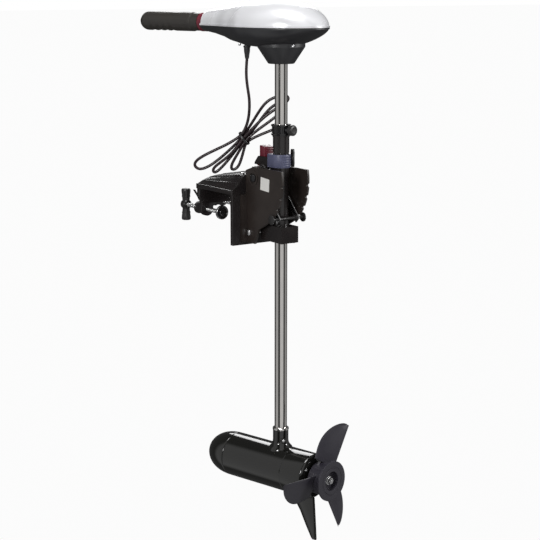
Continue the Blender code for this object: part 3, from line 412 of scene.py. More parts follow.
def dress(made, look, body, slot, *nodes, edge=0.0, sharp=28):
    """Gives a shape its look, rounds its edges, and puts it on its body in place of the plain nodes it stands for."""
    made.data.materials.clear()
    made.data.materials.append(look)
    if edge:
        rounding = made.modifiers.new("edges", "BEVEL")
        rounding.width = edge
        rounding.segments = 2
        rounding.limit_method = "ANGLE"
        rounding.angle_limit = radians(30)
        graph = bpy.context.evaluated_depsgraph_get()
        result = bpy.data.meshes.new_from_object(made.evaluated_get(graph))
        made.modifiers.clear()
        made.data = result
    made.data.shade_smooth()
    made.data.set_sharp_from_angle(angle=radians(sharp))
    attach(made, body)
    if nodes:
        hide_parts(*nodes)
    return made


def finish_nodes(look, *nodes):
    """Gives the plain nodes that stay in view one finish."""
    for node in nodes:
        data = frame["nodes"][node].data
        data.materials.clear()
        data.materials.append(look)


LEG_THICK, LEG_BOTTOM, HOOK_HALF_WIDTH = 0.01, -0.064, 0.071
CEILING, EAVE, CREST_AFT, CREST_FRONT = 0.05, 0.059, 0.102, 0.077
JAW_FACE, JAW_THICK, JAW_BOTTOM = 0.128, 0.012, 0.0137
BOSS_R, BOSS_FRONT, CLAMP_Y, CLAMP_SCREW_R, RUNNING = 0.013, 0.166, 0.05, 0.005, 0.0004
PLATE_Y, PLATE_THICK, PLATE_R, PLATE_TOP = 0.0315, 0.005, 0.11, 0.114
PIVOT_X, PIVOT_Z, PIVOT_BOLT_R = -0.041, 0.089, 0.004
ANCHOR_X, ANCHOR_Z, ANCHOR_BOLT_R = -0.024, -0.035, 0.0035
NOTCH_ANGLES = [radians(a) for a in (47, 33, 19, 5, -9)]
NOTCH_R, LOCK_PIN_R, LOCK_ANGLE, YOKE_HALF, SMALL = 0.0042, 0.0035, NOTCH_ANGLES[0], 0.022, 32
bracket_black = moulded("bracket_nylon", (0.009, 0.008, 0.009), 0.24, grain=620, depth=0.1, patches=18,
                        tint=(0.017, 0.013, 0.012))
plate_satin = moulded("plate_nylon", (0.014, 0.011, 0.01), 0.34, grain=760, depth=0.09, patches=22,
                      tint=(0.034, 0.025, 0.021))
zinc = moulded("zinc_plate", (0.62, 0.62, 0.6), 0.24, metallic=1.0, grain=500, depth=0.03, patches=60,
               tint=(0.5, 0.5, 0.52))
black_oxide = moulded("black_oxide_steel", (0.03, 0.03, 0.032), 0.3, metallic=0.6, grain=500, depth=0.05)
label_white = moulded("blank_label", (0.8, 0.79, 0.76), 0.42, grain=300, depth=0.01)


def hook_section(x):
    """The hook's cross-section at x: flat below, crowned above with five low ribs, and falling to its eaves."""
    share = (x + LEG_THICK) / (JAW_FACE + JAW_THICK + LEG_THICK)
    crest = CREST_AFT + (CREST_FRONT - CREST_AFT) * share
    top = []
    for n in range(73):
        across = -1 + 2 * n / 72
        rib = max(0.0, 1 - min(abs(across - r) for r in (-0.82, -0.5, 0.0, 0.5, 0.82)) / 0.035)
        rise = (crest - EAVE) * (1 - abs(across) ** 2.2) + 0.0012 * min(1.0, rib * 2) * (0.0 < share < 1.0)
        top.append((x, HOOK_HALF_WIDTH * across, EAVE + rise))
    return [(x, HOOK_HALF_WIDTH, CEILING), (x, -HOOK_HALF_WIDTH, CEILING)] + top


def make_hook():
    front = JAW_FACE + JAW_THICK
    stations = [-LEG_THICK, -LEG_THICK + 0.0025] + [0.15 * n / 16 - LEG_THICK for n in range(1, 16)]
    hook = lofted("transom_hook_body", [hook_section(x) for x in stations + [front - 0.0025, front]])
    half = HOOK_HALF_WIDTH
    leg = block("leg", (-LEG_THICK, 0), (-half, half), (LEG_BOTTOM, CEILING + 0.004))
    corner = 0.02
    lower = arc((-half + corner, JAW_BOTTOM + corner), corner, pi, 3 * pi / 2, 12)
    lower += arc((half - corner, JAW_BOTTOM + corner), corner, 3 * pi / 2, 2 * pi, 12)
    jaw_outline = [(-half, CEILING + 0.004)] + lower + [(half, CEILING + 0.004)]
    join(hook, leg, prism("jaw", jaw_outline, JAW_FACE, front, "X"))
    lip = [(-half - 0.0015, CEILING - 0.001), (half + 0.0015, CEILING - 0.001), (half + 0.0015, EAVE + 0.001),
           (-half - 0.0015, EAVE + 0.001)]
    join(hook, prism("eave", lip, -LEG_THICK, front + 0.0012, "X"))
    cut(hook, block("gap", (0.0, JAW_FACE), (-0.08, 0.08), (0.02, CEILING)))
    for y in (CLAMP_Y, -CLAMP_Y):
        lobe = arc((y, 0), 0.0155, pi, 2 * pi, 24)
        lobe += [(y + 0.0155, JAW_BOTTOM + 0.008), (y - 0.0155, JAW_BOTTOM + 0.008)]
        join(hook, prism("lobe", lobe, JAW_FACE + 0.0005, front - 0.0005, "X"))
        boss = [(0, JAW_FACE + 0.002), (BOSS_R, JAW_FACE + 0.002), (BOSS_R, BOSS_FRONT - 0.004),
                (BOSS_R + 0.0012, BOSS_FRONT - 0.003), (BOSS_R + 0.0012, BOSS_FRONT), (0, BOSS_FRONT)]
        join(hook, turned("boss", boss, "X", at=(0, y, 0), sides=48))
        for lean in (-1, 1):
            rib = [(y + lean * 0.03, 0.046), (y + lean * 0.0265, 0.046), (y + lean * 0.006, 0.0145),
                   (y + lean * 0.0095, 0.0145)]
            join(hook, prism("rib", rib, front - 0.001, front + 0.0035, "X"))
        cut(hook, rod("bore", CLAMP_SCREW_R + RUNNING, 0.1, 0.2, "X", at=(0, y, 0), sides=SMALL))
    pocket = rod("pocket", 0.047, -YOKE_HALF - 0.0015, YOKE_HALF + 0.0015, "Y", at=(PIVOT_X, 0, PIVOT_Z), sides=64)
    return cut(hook, pocket)


def plate_outline():
    """A side plate seen from port, in (X, Z), with its notched arc round the tilt pivot."""
    pivot = (PIVOT_X, PIVOT_Z)
    front = -LEG_THICK - GAP
    outline = [(front, PLATE_TOP - 0.01), (PIVOT_X, PLATE_TOP)]
    stops = [radians(-13)] + sorted(NOTCH_ANGLES)[1:] + [radians(57)]
    half_notch = NOTCH_R / PLATE_R
    for first, last in zip(stops, stops[1:]):
        start = first + (half_notch if first > stops[0] else 0)
        end = last - (half_notch if last < stops[-1] else 0)
        outline += arc(pivot, PLATE_R, pi + start, pi + end, 4)
        if last < stops[-1]:
            seat = (PIVOT_X - PLATE_R * cos(last), PIVOT_Z - PLATE_R * sin(last))
            outline += arc(seat, NOTCH_R, pi + last - pi / 2, pi + last - 3 * pi / 2, 8)[1:-1]
    outline += [(PIVOT_X - 0.02, -0.024), (PIVOT_X - 0.004, -0.058), (front, -0.058)]
    return outline


def make_side_plate(name, side):
    """A notched plate with a raised rim round its pivot and a foot against the hook's leg."""
    inner, outer = sorted((side * PLATE_Y, side * (PLATE_Y + PLATE_THICK)))
    plate = prism(name, plate_outline(), inner, outer, "Y")
    foot_in, foot_out = sorted((side * (PLATE_Y + PLATE_THICK - 0.001), side * (PLATE_Y + 0.02)))
    foot = block("foot", (-LEG_THICK - GAP - 0.006, -LEG_THICK - GAP), (foot_in, foot_out), (-0.056, 0.05))
    near, far = sorted((side * (PLATE_Y + PLATE_THICK - 0.001), side * (PLATE_Y + PLATE_THICK + 0.0016)))
    rim = prism("rim", arc((PIVOT_X, PIVOT_Z), 0.0165, 0, 2 * pi, 48)[:-1], near, far, "Y")
    cut(rim, rod("inside", 0.0125, -0.06, 0.06, "Y", at=(PIVOT_X, 0, PIVOT_Z), sides=48))
    join(plate, foot, rim)
    hole = rod("hole", PIVOT_BOLT_R + GAP, -0.06, 0.06, "Y", at=(PIVOT_X, 0, PIVOT_Z), sides=SMALL)
    anchor = rod("hole", ANCHOR_BOLT_R + GAP, -0.06, 0.06, "Y", at=(ANCHOR_X, 0, ANCHOR_Z), sides=SMALL)
    return cut(plate, hole, anchor)


def cross_bolt(name, radius, head_r, x, z):
    """A bolt through both side plates, with a domed head to port and a hexagon nut to starboard."""
    seat = PLATE_Y + PLATE_THICK + GAP
    profile = based(-seat, (0, -0.006), (radius, -0.006))
    profile += based(seat, (radius, -0.0005), (head_r, 0), (head_r, 0.002), (head_r * 0.92, 0.0034),
                     (head_r * 0.62, 0.0046), (head_r * 0.3, 0.005), (0, 0.005))
    bolt = turned(name, profile, "Y", at=(x, 0, z), sides=SMALL)
    return join(bolt, rod("nut", head_r * 0.9, -seat - 0.0052, -seat, "Y", at=(x, 0, z), sides=6))


dress(make_hook(), bracket_black, "bracket", "black_plastic", "transom_hook", edge=0.0009)
for label, side in (("port", 1), ("starboard", -1)):
    dress(make_side_plate("plate_" + label, side), plate_satin, "bracket", "black_plastic", "side_plate_" + label)
dress(cross_bolt("pivot_bolt", PIVOT_BOLT_R, 0.009, PIVOT_X, PIVOT_Z), black_oxide, "bracket", "zinc_steel",
      "tilt_pivot_bolt", edge=0.0003)
dress(cross_bolt("leg_bolt", ANCHOR_BOLT_R, 0.007, ANCHOR_X, ANCHOR_Z), zinc, "bracket", "zinc_steel", "anchor_bolt",
      edge=0.0003)
face = PLATE_Y + PLATE_THICK
label_outline = [(-0.1, 0.064), (-0.069, 0.0665), (-0.068, 0.0675), (-0.07, 0.0935), (-0.071, 0.0945),
                 (-0.102, 0.092), (-0.103, 0.091), (-0.101, 0.065)]
dress(prism("blank_plate_label", label_outline, face - 0.0002, face + 0.0004, "Y"), label_white, "bracket",
      "silver_cover")
for n, (x, y) in enumerate(((0.008, 0.034), (0.008, -0.034))):
    head = [(0, 0.0895), (0.0052, 0.0895), (0.0052, 0.0953), (0.004, 0.0966), (0, 0.0972)]
    screw = turned(f"hook_screw_{n + 1}", head, at=(x, y, 0), sides=24)
    cut(screw, block("cross", (x - 0.003, x + 0.003), (y - 0.0005, y + 0.0005), (0.096, 0.099)),
        block("cross", (x - 0.0005, x + 0.0005), (y - 0.003, y + 0.003), (0.096, 0.099)))
    dress(screw, zinc, "bracket", "zinc_steel")

# Clamp screws: two zinc-plated screws with rolled threads, each with a swivel pad that presses on the transom and a
# T-handle moulded on its outer end.
PAD_R, PAD_FACE, PAD_THICK, T_BAR_X, T_BAR_HALF = 0.016, 0.0645, 0.006, 0.2235, 0.037
THREAD_PITCH = 0.0025
handle_black = moulded("handle_nylon", (0.016, 0.015, 0.015), 0.34, grain=900, depth=0.08)


def thread_profile(radius, depth, low, high, pitch):
    """Ridges at a screw's pitch, as the profile of a turned bar with plain ends."""
    profile = [(0, low), (radius - depth, low), (radius, low + depth)]
    turns = int((high - low - pitch) / pitch)
    for n in range(turns):
        at = low + depth + (n + 0.5) * pitch
        profile += [(radius, at - 0.3 * pitch), (radius - depth, at), (radius, at + 0.3 * pitch)]
    return profile + [(radius, high - depth), (radius - depth, high), (0, high)]


def make_clamp(side_name, y, upright):
    back = PAD_FACE + PAD_THICK
    pad = based(PAD_FACE, (0, 0), (0.006, 0), (0.0065, 0.0008), (0.0125, 0.0008), (0.013, 0), (PAD_R - 0.001, 0),
                (PAD_R, 0.001)) + based(back, (PAD_R, -0.001), (PAD_R - 0.001, 0), (0.0105, 0), (0.009, 0.0015),
            (0.009, 0.006), (CLAMP_SCREW_R + RUNNING, 0.006)) + based(PAD_FACE, (CLAMP_SCREW_R + RUNNING, 0.003),
            (0, 0.003))
    dress(turned("swivel_pad_" + side_name, pad, "X", at=(0, y, 0), sides=48), zinc, "clamp_pad_" + side_name,
          "zinc_steel", "clamp_pad_" + side_name)
    thread = thread_profile(CLAMP_SCREW_R, 0.0008, PAD_FACE + 0.003 + GAP, T_BAR_X - 0.009 - GAP, THREAD_PITCH)
    dress(turned("screw_" + side_name, thread, "X", at=(0, y, 0), sides=32), zinc, "clamp_screw_" + side_name,
          "zinc_steel", "clamp_screw_" + side_name, sharp=80)
    hub = turned("t_handle_" + side_name, [(0, -0.009), (0.0095, -0.009), (0.011, -0.007), (0.0118, 0),
            (0.011, 0.007), (0.0095, 0.009), (0, 0.009)], "X", at=(T_BAR_X, y, 0), sides=48)
    half = T_BAR_HALF
    side = [(0.0085, half), (0.0102, half - 0.0012), (0.0108, half - 0.004), (0.0106, half - 0.008), (0.0094, 0.02),
            (0.0086, 0.01), (0.0082, 0.0)]
    bar = [(0, -half)] + [(r, -z) for r, z in side] + [(r, z) for r, z in reversed(side[:-1])] + [(0, half)]
    wing = turned("bar", bar, "Z" if upright else "Y", at=(T_BAR_X, y, 0), sides=40)
    join(hub, wing)
    for step in (-1, 1):
        along = step * 0.019
        at = (T_BAR_X, y, along) if upright else (T_BAR_X, y + along, 0)
        ring = [(0.0086, -0.0012), (0.0102, -0.0012), (0.0102, 0.0012), (0.0086, 0.0012)]
        join(hub, turned("ring", ring, "Z" if upright else "Y", at=at, sides=40))
    dress(hub, handle_black, "clamp_screw_" + side_name, "black_plastic", "clamp_handle_" + side_name, edge=0.0006)


make_clamp("port", CLAMP_Y, True)
make_clamp("starboard", -CLAMP_Y, False)

# Yoke: the block that tilts between the side plates and holds the shaft upright in two nylon bushes. Moulded in
# black nylon, with a steering band of slate-coloured nylon squeezed round its sleeve by a wing screw.
SLEEVE_R, SLEEVE_TOP, BAND_TOP, BAND_BOTTOM = 0.018, 0.7545, 0.713, 0.684
YOKE_TOP, BLOCK_TOP, BLOCK_BOTTOM, BLOCK_HALF = 0.682, 0.556, 0.52, 0.0225
BLOCK_AFT, WEB_FRONT, BUSH_WALL, SHAFT_R = -0.034, 0.046, 0.0016, 0.014
BORE_R = SHAFT_R + RUNNING + BUSH_WALL + GAP
AXIS_AT = tuple(SHAFT_AT)
SHAFT_X, MOTOR_Z = SHAFT_AT.x, SHAFT_AT.z
slate = moulded("slate_nylon", (0.105, 0.11, 0.185), 0.4, grain=800, depth=0.07, tint=(0.07, 0.075, 0.13))
bush_white = moulded("bush_nylon", (0.72, 0.71, 0.66), 0.45, grain=700, depth=0.05)


def up(height):
    """A height above the motor's axis, as a height in the bracket's frame."""
    return MOTOR_Z + height


def forward(distance):
    """A distance ahead of the shaft's axis, as an X in the bracket's frame."""
    return SHAFT_X + distance


def on_lock_line(reach):
    """A point on the line that the lock slides along, from the pivot towards the pin, in (X, Z)."""
    return (PIVOT_X - reach * cos(LOCK_ANGLE), PIVOT_Z - reach * sin(LOCK_ANGLE))


LOCK_REACH = PLATE_R + LOCK_PIN_R + RUNNING
LOCK_BAR = on_lock_line(-0.026)
LEVER_X, LEVER_Z = forward(0.056), up(0.692)


def make_yoke():
    yoke = rod("yoke_body", SLEEVE_R, BAND_BOTTOM - 0.02, SLEEVE_TOP, at=AXIS_AT)
    lip = based(SLEEVE_TOP, (SLEEVE_R - 0.002, -0.003), (SLEEVE_R + 0.0012, -0.003), (SLEEVE_R + 0.0012, 0),
                (SLEEVE_R - 0.002, 0))
    foot = based(BAND_TOP, (SLEEVE_R - 0.002, 0.0008), (SLEEVE_R + 0.0012, 0.0008), (SLEEVE_R + 0.0012, 0.0032),
                 (SLEEVE_R - 0.002, 0.0032))
    join(yoke, turned("lip", lip, at=AXIS_AT), turned("foot", foot, at=AXIS_AT))
    bridge = block("bridge", (forward(0.012), forward(0.084)), (-YOKE_HALF, YOKE_HALF), (up(0.634), up(YOKE_TOP)))
    base_outline = [(0.03, 0.68), (0.08, 0.68), (0.08, 0.689), (0.066, 0.704), (0.03, 0.704)]
    base_outline = [(forward(x), up(z)) for x, z in base_outline]
    lever_base = prism("lever_base", base_outline, -0.016, 0.016, "Y")
    web = block("web", (forward(0.018), forward(WEB_FRONT)), (-0.0155, 0.0155), (up(0.55), up(0.64)))
    low = block("low", (forward(BLOCK_AFT), forward(WEB_FRONT)), (-BLOCK_HALF, BLOCK_HALF),
                (up(BLOCK_BOTTOM), up(BLOCK_TOP)))
    join(yoke, bridge, lever_base, web, low)
    for height in (0.575, 0.6, 0.622):
        rib = block("rib", (forward(0.0165), forward(WEB_FRONT + 0.001)), (-0.0168, 0.0168),
                    (up(height), up(height + 0.003)))
        join(yoke, rib)
    for bolt_y in (-0.0155, 0.0155):
        join(yoke, rod("stud", 0.0036, up(BLOCK_BOTTOM) - 0.0015, up(BLOCK_BOTTOM) + 0.002,
                       at=(forward(-0.026), bolt_y, 0), sides=24))
    shaft_way = rod("way", BORE_R, 0.5, 0.8, at=AXIS_AT)
    pivot_way = rod("way", PIVOT_BOLT_R + RUNNING, -0.05, 0.05, "Y", at=(PIVOT_X, 0, PIVOT_Z), sides=SMALL)
    lever_slot = block("slot", (LEVER_X - 0.013, LEVER_X + 0.021), (-0.0125, 0.0125), (LEVER_Z - 0.0145, up(0.72)))
    bar_way = block("way", (LOCK_BAR[0] - 0.0095, LOCK_BAR[0] + 0.0085), (-0.05, 0.05),
                    (LOCK_BAR[1] - 0.009, LOCK_BAR[1] + 0.0085))
    return cut(yoke, shaft_way, pivot_way, lever_slot, bar_way)


def make_band():
    """The steering band: a split ribbed clamp whose flat lugs lie ahead of the sleeve."""
    inner, outer = SLEEVE_R + GAP, SLEEVE_R + 0.0026
    low, high = up(BAND_BOTTOM), up(BAND_TOP)
    outline = arc((SHAFT_X, 0), outer, pi / 2, 3 * pi / 2, 40) + [(forward(0.0235), -outer), (forward(0.0235), outer)]
    band = prism("steering_band_body", outline, low, high, "Z")
    for n in range(5):
        at = low + 0.0042 + n * 0.0052
        rib = arc((SHAFT_X, 0), outer + 0.0009, radians(150), radians(262), 28)
        rib += arc((SHAFT_X, 0), outer - 0.001, radians(262), radians(150), 28)
        join(band, prism("rib", rib, at - 0.001, at + 0.001, "Z"))
    way = rod("way", inner, 0.5, 0.8, at=AXIS_AT)
    split = block("split", (forward(0.012), forward(0.03)), (-0.002, 0.002), (low - 0.01, high + 0.01))
    return cut(band, way, split)


def make_wing_screw():
    y = -SLEEVE_R - 0.0026 - GAP
    x, z = forward(-0.007), up(0.7035)
    knob = turned("wing_screw", [(0, y), (0.0045, y), (0.0052, y - 0.0015), (0.0045, y - 0.003), (0, y - 0.003)], "Y",
                  at=(x, 0, z), sides=32)
    wing = [(x - 0.0035, z - 0.0195), (x + 0.0035, z - 0.0195), (x + 0.0045, z - 0.012), (x + 0.004, z),
            (x + 0.0045, z + 0.012), (x + 0.0035, z + 0.0195), (x - 0.0035, z + 0.0195), (x - 0.0045, z + 0.012),
            (x - 0.004, z), (x - 0.0045, z - 0.012)]
    return join(knob, prism("wing", wing, y - 0.0075, y - 0.0025, "Y"))


dress(make_yoke(), bracket_black, "yoke", "black_plastic", "yoke", edge=0.0007)
dress(make_band(), slate, "yoke", "slate_plastic", "steering_band", edge=0.0003)
dress(make_wing_screw(), handle_black, "steering_knob", "black_plastic", "steering_knob", edge=0.0008)
finish_nodes(bush_white, "upper_bush", "lower_bush")

# Tilt lock: a zinc-plated stirrup with a ridged roller pin that drops into the plates' notches. A red thumb lever
# pushes it out against its spring.
STRAP_Y, STRAP_THICK, LOCK_TRAVEL = YOKE_HALF + 0.0015, 0.003, 0.006
lever_red = moulded("lever_nylon", (0.15, 0.01, 0.024), 0.36, grain=800, depth=0.06, tint=(0.1, 0.006, 0.016))


def make_stirrup():
    across = (-sin(LOCK_ANGLE), cos(LOCK_ANGLE))
    half = 0.0085
    tip = on_lock_line(LOCK_REACH + 0.007)
    corners = [(LOCK_BAR[0] + across[0] * half, LOCK_BAR[1] + across[1] * half), (LOCK_BAR[0] - across[0] * half,
            LOCK_BAR[1] - across[1] * half), (tip[0] - across[0] * half, tip[1] - across[1] * half),
               (tip[0] + across[0] * half, tip[1] + across[1] * half)]
    stirrup = rod("stirrup", 0.0045, -STRAP_Y - STRAP_THICK + 0.0005, STRAP_Y + STRAP_THICK - 0.0005, "Y",
                  at=(LOCK_BAR[0], 0, LOCK_BAR[1]), sides=32)
    for side in (1, -1):
        inner, outer = sorted((side * STRAP_Y, side * (STRAP_Y + STRAP_THICK)))
        join(stirrup, prism("strap", corners, inner, outer, "Y"))
    slot_r = PIVOT_BOLT_R + 0.0008
    low, high = on_lock_line(-LOCK_TRAVEL - 0.001), on_lock_line(0.001)
    turn = pi + LOCK_ANGLE
    slot = arc(high, slot_r, turn - pi / 2, turn + pi / 2, 12) + arc(low, slot_r, turn + pi / 2, turn + 3 * pi / 2,
            12)
    pin_at = on_lock_line(LOCK_REACH)
    pin_way = rod("way", LOCK_PIN_R + GAP, -0.04, 0.04, "Y", at=(pin_at[0], 0, pin_at[1]), sides=SMALL)
    return cut(stirrup, prism("slot", slot, -0.04, 0.04, "Y"), pin_way)


def make_lock_pin():
    """The pin's ends carry ridged finger rollers."""
    pin_at = on_lock_line(LOCK_REACH)
    end = PLATE_Y + PLATE_THICK + 0.004
    pin = [(0, -end - 0.003), (0.0105, -end - 0.003), (0.0105, -end), (LOCK_PIN_R, -end), (LOCK_PIN_R, end),
           (0.0105, end), (0.0105, end + 0.003), (0, end + 0.003)]
    pin = turned("roller_pin", pin, "Y", at=(pin_at[0], 0, pin_at[1]), sides=SMALL)
    for n in range(12):
        t = 2 * pi * n / 12
        groove = rod("groove", 0.0012, -0.06, 0.06, "Y", sides=12, at=(pin_at[0] + 0.0109 * cos(t), 0, pin_at[1] +
                0.0109 * sin(t)))
        cut(pin, groove)
    return pin


def make_release_lever():
    outline = [(-0.006, -0.006), (0.004, -0.0075), (0.01, -0.0106), (0.019, -0.0106), (0.019, -0.005),
               (0.0095, 0.012), (0.0095, 0.0345), (0.007, 0.0358), (-0.0098, 0.0325), (-0.0115, 0.03),
               (-0.0115, 0.01)]
    outline = [(LEVER_X + x, LEVER_Z + z) for x, z in outline]
    lever = prism("thumb_lever", outline, -0.012, 0.012, "Y")
    for n in range(4):
        z = LEVER_Z + 0.013 + n * 0.0045
        join(lever, block("ridge", (LEVER_X - 0.0125, LEVER_X - 0.01), (-0.0095, 0.0095), (z, z + 0.0018)))
    return cut(lever, rod("way", 0.0025, -0.02, 0.02, "Y", at=(LEVER_X, 0, LEVER_Z), sides=24))


dress(make_stirrup(), zinc, "lock", "zinc_steel", "lock_stirrup", edge=0.0005)
dress(make_lock_pin(), handle_black, "lock", "black_plastic", "lock_pin", edge=0.0003)
dress(make_release_lever(), lever_red, "release_lever", "red_plastic", "release_lever", edge=0.0008)
finish_nodes(zinc, "lever_pin")

# Depth collar: a glossy black moulded clamp round the shaft that rests on the yoke's sleeve, with a ribbed knob on
# its screw. Loosening the knob lets the shaft be raised.
COLLAR_R, COLLAR_TOP = 0.0205, 0.778
COLLAR_MIDDLE = (SLEEVE_TOP + GAP + COLLAR_TOP) / 2
gloss_black = moulded("gloss_nylon", (0.009, 0.009, 0.01), 0.16, grain=500, depth=0.04, coat=0.3)

# From here on the pieces turn with the shaft, so their shapes are made in its steered frame.
turned, rod, lofted, prism, block = (partial(tool, frame=STEERED) for tool in (turned, rod, lofted, prism, block))


def make_collar():
    low, high = SLEEVE_TOP + GAP, COLLAR_TOP
    bore, lip = SHAFT_R + RUNNING, 0.0035
    ring = [(bore, low), (COLLAR_R + 0.0008, low), (COLLAR_R + 0.0015, low + 0.0007), (COLLAR_R + 0.0015, low + lip),
            (COLLAR_R - 0.0004, low + lip + 0.0006), (COLLAR_R - 0.001, low + lip + 0.0016),
            (COLLAR_R - 0.001, high - lip - 0.0016), (COLLAR_R - 0.0004, high - lip - 0.0006),
            (COLLAR_R + 0.0015, high - lip), (COLLAR_R + 0.0015, high - 0.0007), (COLLAR_R + 0.0008, high),
            (bore, high)]
    collar = turned("collar_body", ring)
    for n in range(36):
        t = 2 * pi * n / 36
        if abs(t - pi) > 0.42:
            rib = rod("rib", 0.0007, low + lip + 0.001, high - lip - 0.001, sides=8, at=((COLLAR_R - 0.001) * cos(t),
                    (COLLAR_R - 0.001) * sin(t), 0))
            join(collar, rib)
    join(collar, rod("boss", 0.0085, -0.026, -0.016, "X", at=(0, 0, COLLAR_MIDDLE), sides=40))
    return cut(collar, rod("way", 0.0033, -0.04, -0.01, "X", at=(0, 0, COLLAR_MIDDLE), sides=24))


def make_collar_knob():
    knob = [(0, -0.0148), (0.003, -0.0148), (0.003, -0.0263), (0.0105, -0.0263), (0.0118, -0.028), (0.0118, -0.0355),
            (0.0105, -0.0374), (0.0075, -0.038), (0.0065, -0.0372), (0, -0.0372)]
    knob = turned("ribbed_knob", knob, "X", at=(0, 0, COLLAR_MIDDLE), sides=48)
    for n in range(14):
        t = 2 * pi * n / 14
        cut(knob, rod("groove", 0.0011, -0.04, -0.0275, "X", sides=12, at=(0, 0.0122 * sin(t), COLLAR_MIDDLE + 0.0122
                * cos(t))))
    return knob


dress(make_collar(), gloss_black, "collar", "black_plastic", "depth_collar")
dress(make_collar_knob(), handle_black, "collar_knob", "black_plastic", "collar_knob", edge=0.0003)

# Shaft: a polished stainless tube with the motor's wires inside. Its top is clamped in the head by a ring.
MOTOR_R, SHAFT_WALL, SHAFT_TOP = 0.0505, 0.0015, 0.955
polished = moulded("polished_stainless", (0.62, 0.6, 0.57), 0.11, metallic=1.0, grain=1500, depth=0.02, patches=40,
                   spread=0.3, tint=(0.52, 0.51, 0.5))
tube_profile = [(SHAFT_R - 0.0004, MOTOR_R + 0.001), (SHAFT_R, MOTOR_R + 0.0014), (SHAFT_R, SHAFT_TOP - 0.0004),
                (SHAFT_R - 0.0004, SHAFT_TOP), (SHAFT_R - SHAFT_WALL, SHAFT_TOP), (SHAFT_R - SHAFT_WALL, MOTOR_R +
        0.001)]
dress(turned("shaft_tube", tube_profile, sides=96), polished, "shaft", "stainless", "main_shaft")
finish_nodes(sheath, "shaft_wires")
finish_nodes(zinc, "shaft_clamp_ring")

# Head: a two-part shell over the speed switch. The cover is silver-painted, the housing under it charcoal, both
# injection-moulded, and they meet in a lipped seam. A cable gland holds the lead under the front.
HEAD_SEAM, HEAD_TOP, HEAD_AFT, HEAD_FRONT, HEAD_HALF_WIDTH, HEAD_WALL = 0.987, 1.045, 0.115, 0.22, 0.085, 0.003
CONE_TOP, CONE_TOP_R, CONE_BOTTOM, CONE_BOTTOM_R = 0.945, 0.052, 0.909, 0.029
HANDLE_Z, HANDLE_TUBE_R = 0.9935, 0.0125
pearl = moulded("pearl_paint", (0.8, 0.8, 0.82), 0.28, metallic=0.25, grain=2600, depth=0.03, patches=5, spread=0.1,
                coat=0.5, tint=(0.74, 0.745, 0.77))
charcoal = moulded("charcoal_shell", (0.024, 0.024, 0.027), 0.36, grain=1300, depth=0.1, tint=(0.018, 0.018, 0.02))


def between(table, at):
    """Reads a curve given as (place, value) pairs, smoothly between its points."""
    for (x0, y0), (x1, y1) in zip(table, table[1:]):
        if at <= x1:
            share = max(0.0, (at - x0) / (x1 - x0))
            share = share * share * (3 - 2 * share) * 0.35 + share * 0.65
            return y0 + (y1 - y0) * share
    return table[-1][1]


def head_width(x):
    """Half the head's width at a distance ahead of the shaft."""
    if x < 0.01:
        return HEAD_HALF_WIDTH * sqrt(max(0.0, 1 - ((0.01 - x) / (HEAD_AFT + 0.01)) ** 2.1))
    wide = HEAD_HALF_WIDTH
    return between([(0.01, wide), (HEAD_FRONT * 0.273, wide * 0.941), (HEAD_FRONT * 0.5, wide * 0.729),
                    (HEAD_FRONT * 0.727, wide * 0.482), (HEAD_FRONT, wide * 0.3)], x)


def head_top(x):
    """The cover's crest above the seam."""
    if x < 0.02:
        share = (0.02 - x) / (HEAD_AFT + 0.02)
        return (HEAD_TOP - HEAD_SEAM) * (1 - share ** 2.4) ** 0.62
    crest = HEAD_TOP - HEAD_SEAM
    fall = [(0.295, 0.002), (0.455, 0.007), (0.659, 0.015), (0.841, 0.021), (1, 0.026)]
    return between([(0.02, crest)] + [(HEAD_FRONT * share, crest - drop) for share, drop in fall], x)


def head_keel(x):
    """The housing's lowest line below the seam."""
    if x < 0.02:
        share = (0.02 - x) / (HEAD_AFT + 0.02)
        return 0.046 * (1 - share ** 1.9) ** 0.8
    rise = [(0.336, 0.043), (0.523, 0.0355), (0.686, 0.0255), (0.845, 0.018), (1, 0.0135)]
    return between([(0.02, 0.046)] + [(HEAD_FRONT * share, depth) for share, depth in rise], x)


def head_stations():
    aft = [-HEAD_AFT + (HEAD_AFT + 0.02) * (n / 26) ** 1.8 for n in range(27)]
    return aft[1:] + [0.02 + (HEAD_FRONT - 0.02) * n / 20 for n in range(1, 21)]


def half_dome(name, height, inset, sign, sides=44):
    """One half of the head: a loft of arched sections over the flat seam, drawn in by inset."""
    loops = []
    for x in head_stations():
        wide = max(head_width(x) - inset, 0.0012)
        tall = max(height(x) - inset, 0.001)
        at = x * (1 - inset / HEAD_FRONT)
        turns = [pi * n / sides for n in range(sides + 1)]
        loops.append([(at, wide * cos(t), HEAD_SEAM + sign * (tall * sin(t) ** 0.85 + GAP / 2)) for t in turns])
    return lofted(name, loops)


def head_plan(grow, first=0):
    """The head's outline at the seam, grown outwards."""
    side = [(x * (1 + grow / HEAD_FRONT), max(head_width(x) + grow, 0.0012)) for x in head_stations()[first:]]
    return side + [(x, -y) for x, y in reversed(side)]


def make_cover():
    cover = half_dome("cover_shell", head_top, 0, 1)
    lip = prism("lip", head_plan(0.0016), HEAD_SEAM + GAP / 2, HEAD_SEAM + 0.0042, "Z")
    join(cover, lip)
    cut(cover, half_dome("inner", head_top, HEAD_WALL, 1))
    cut(cover, prism("seam", head_plan(-HEAD_WALL, 3), HEAD_SEAM - 0.001, HEAD_SEAM + 0.0012, "Z"))
    return cover


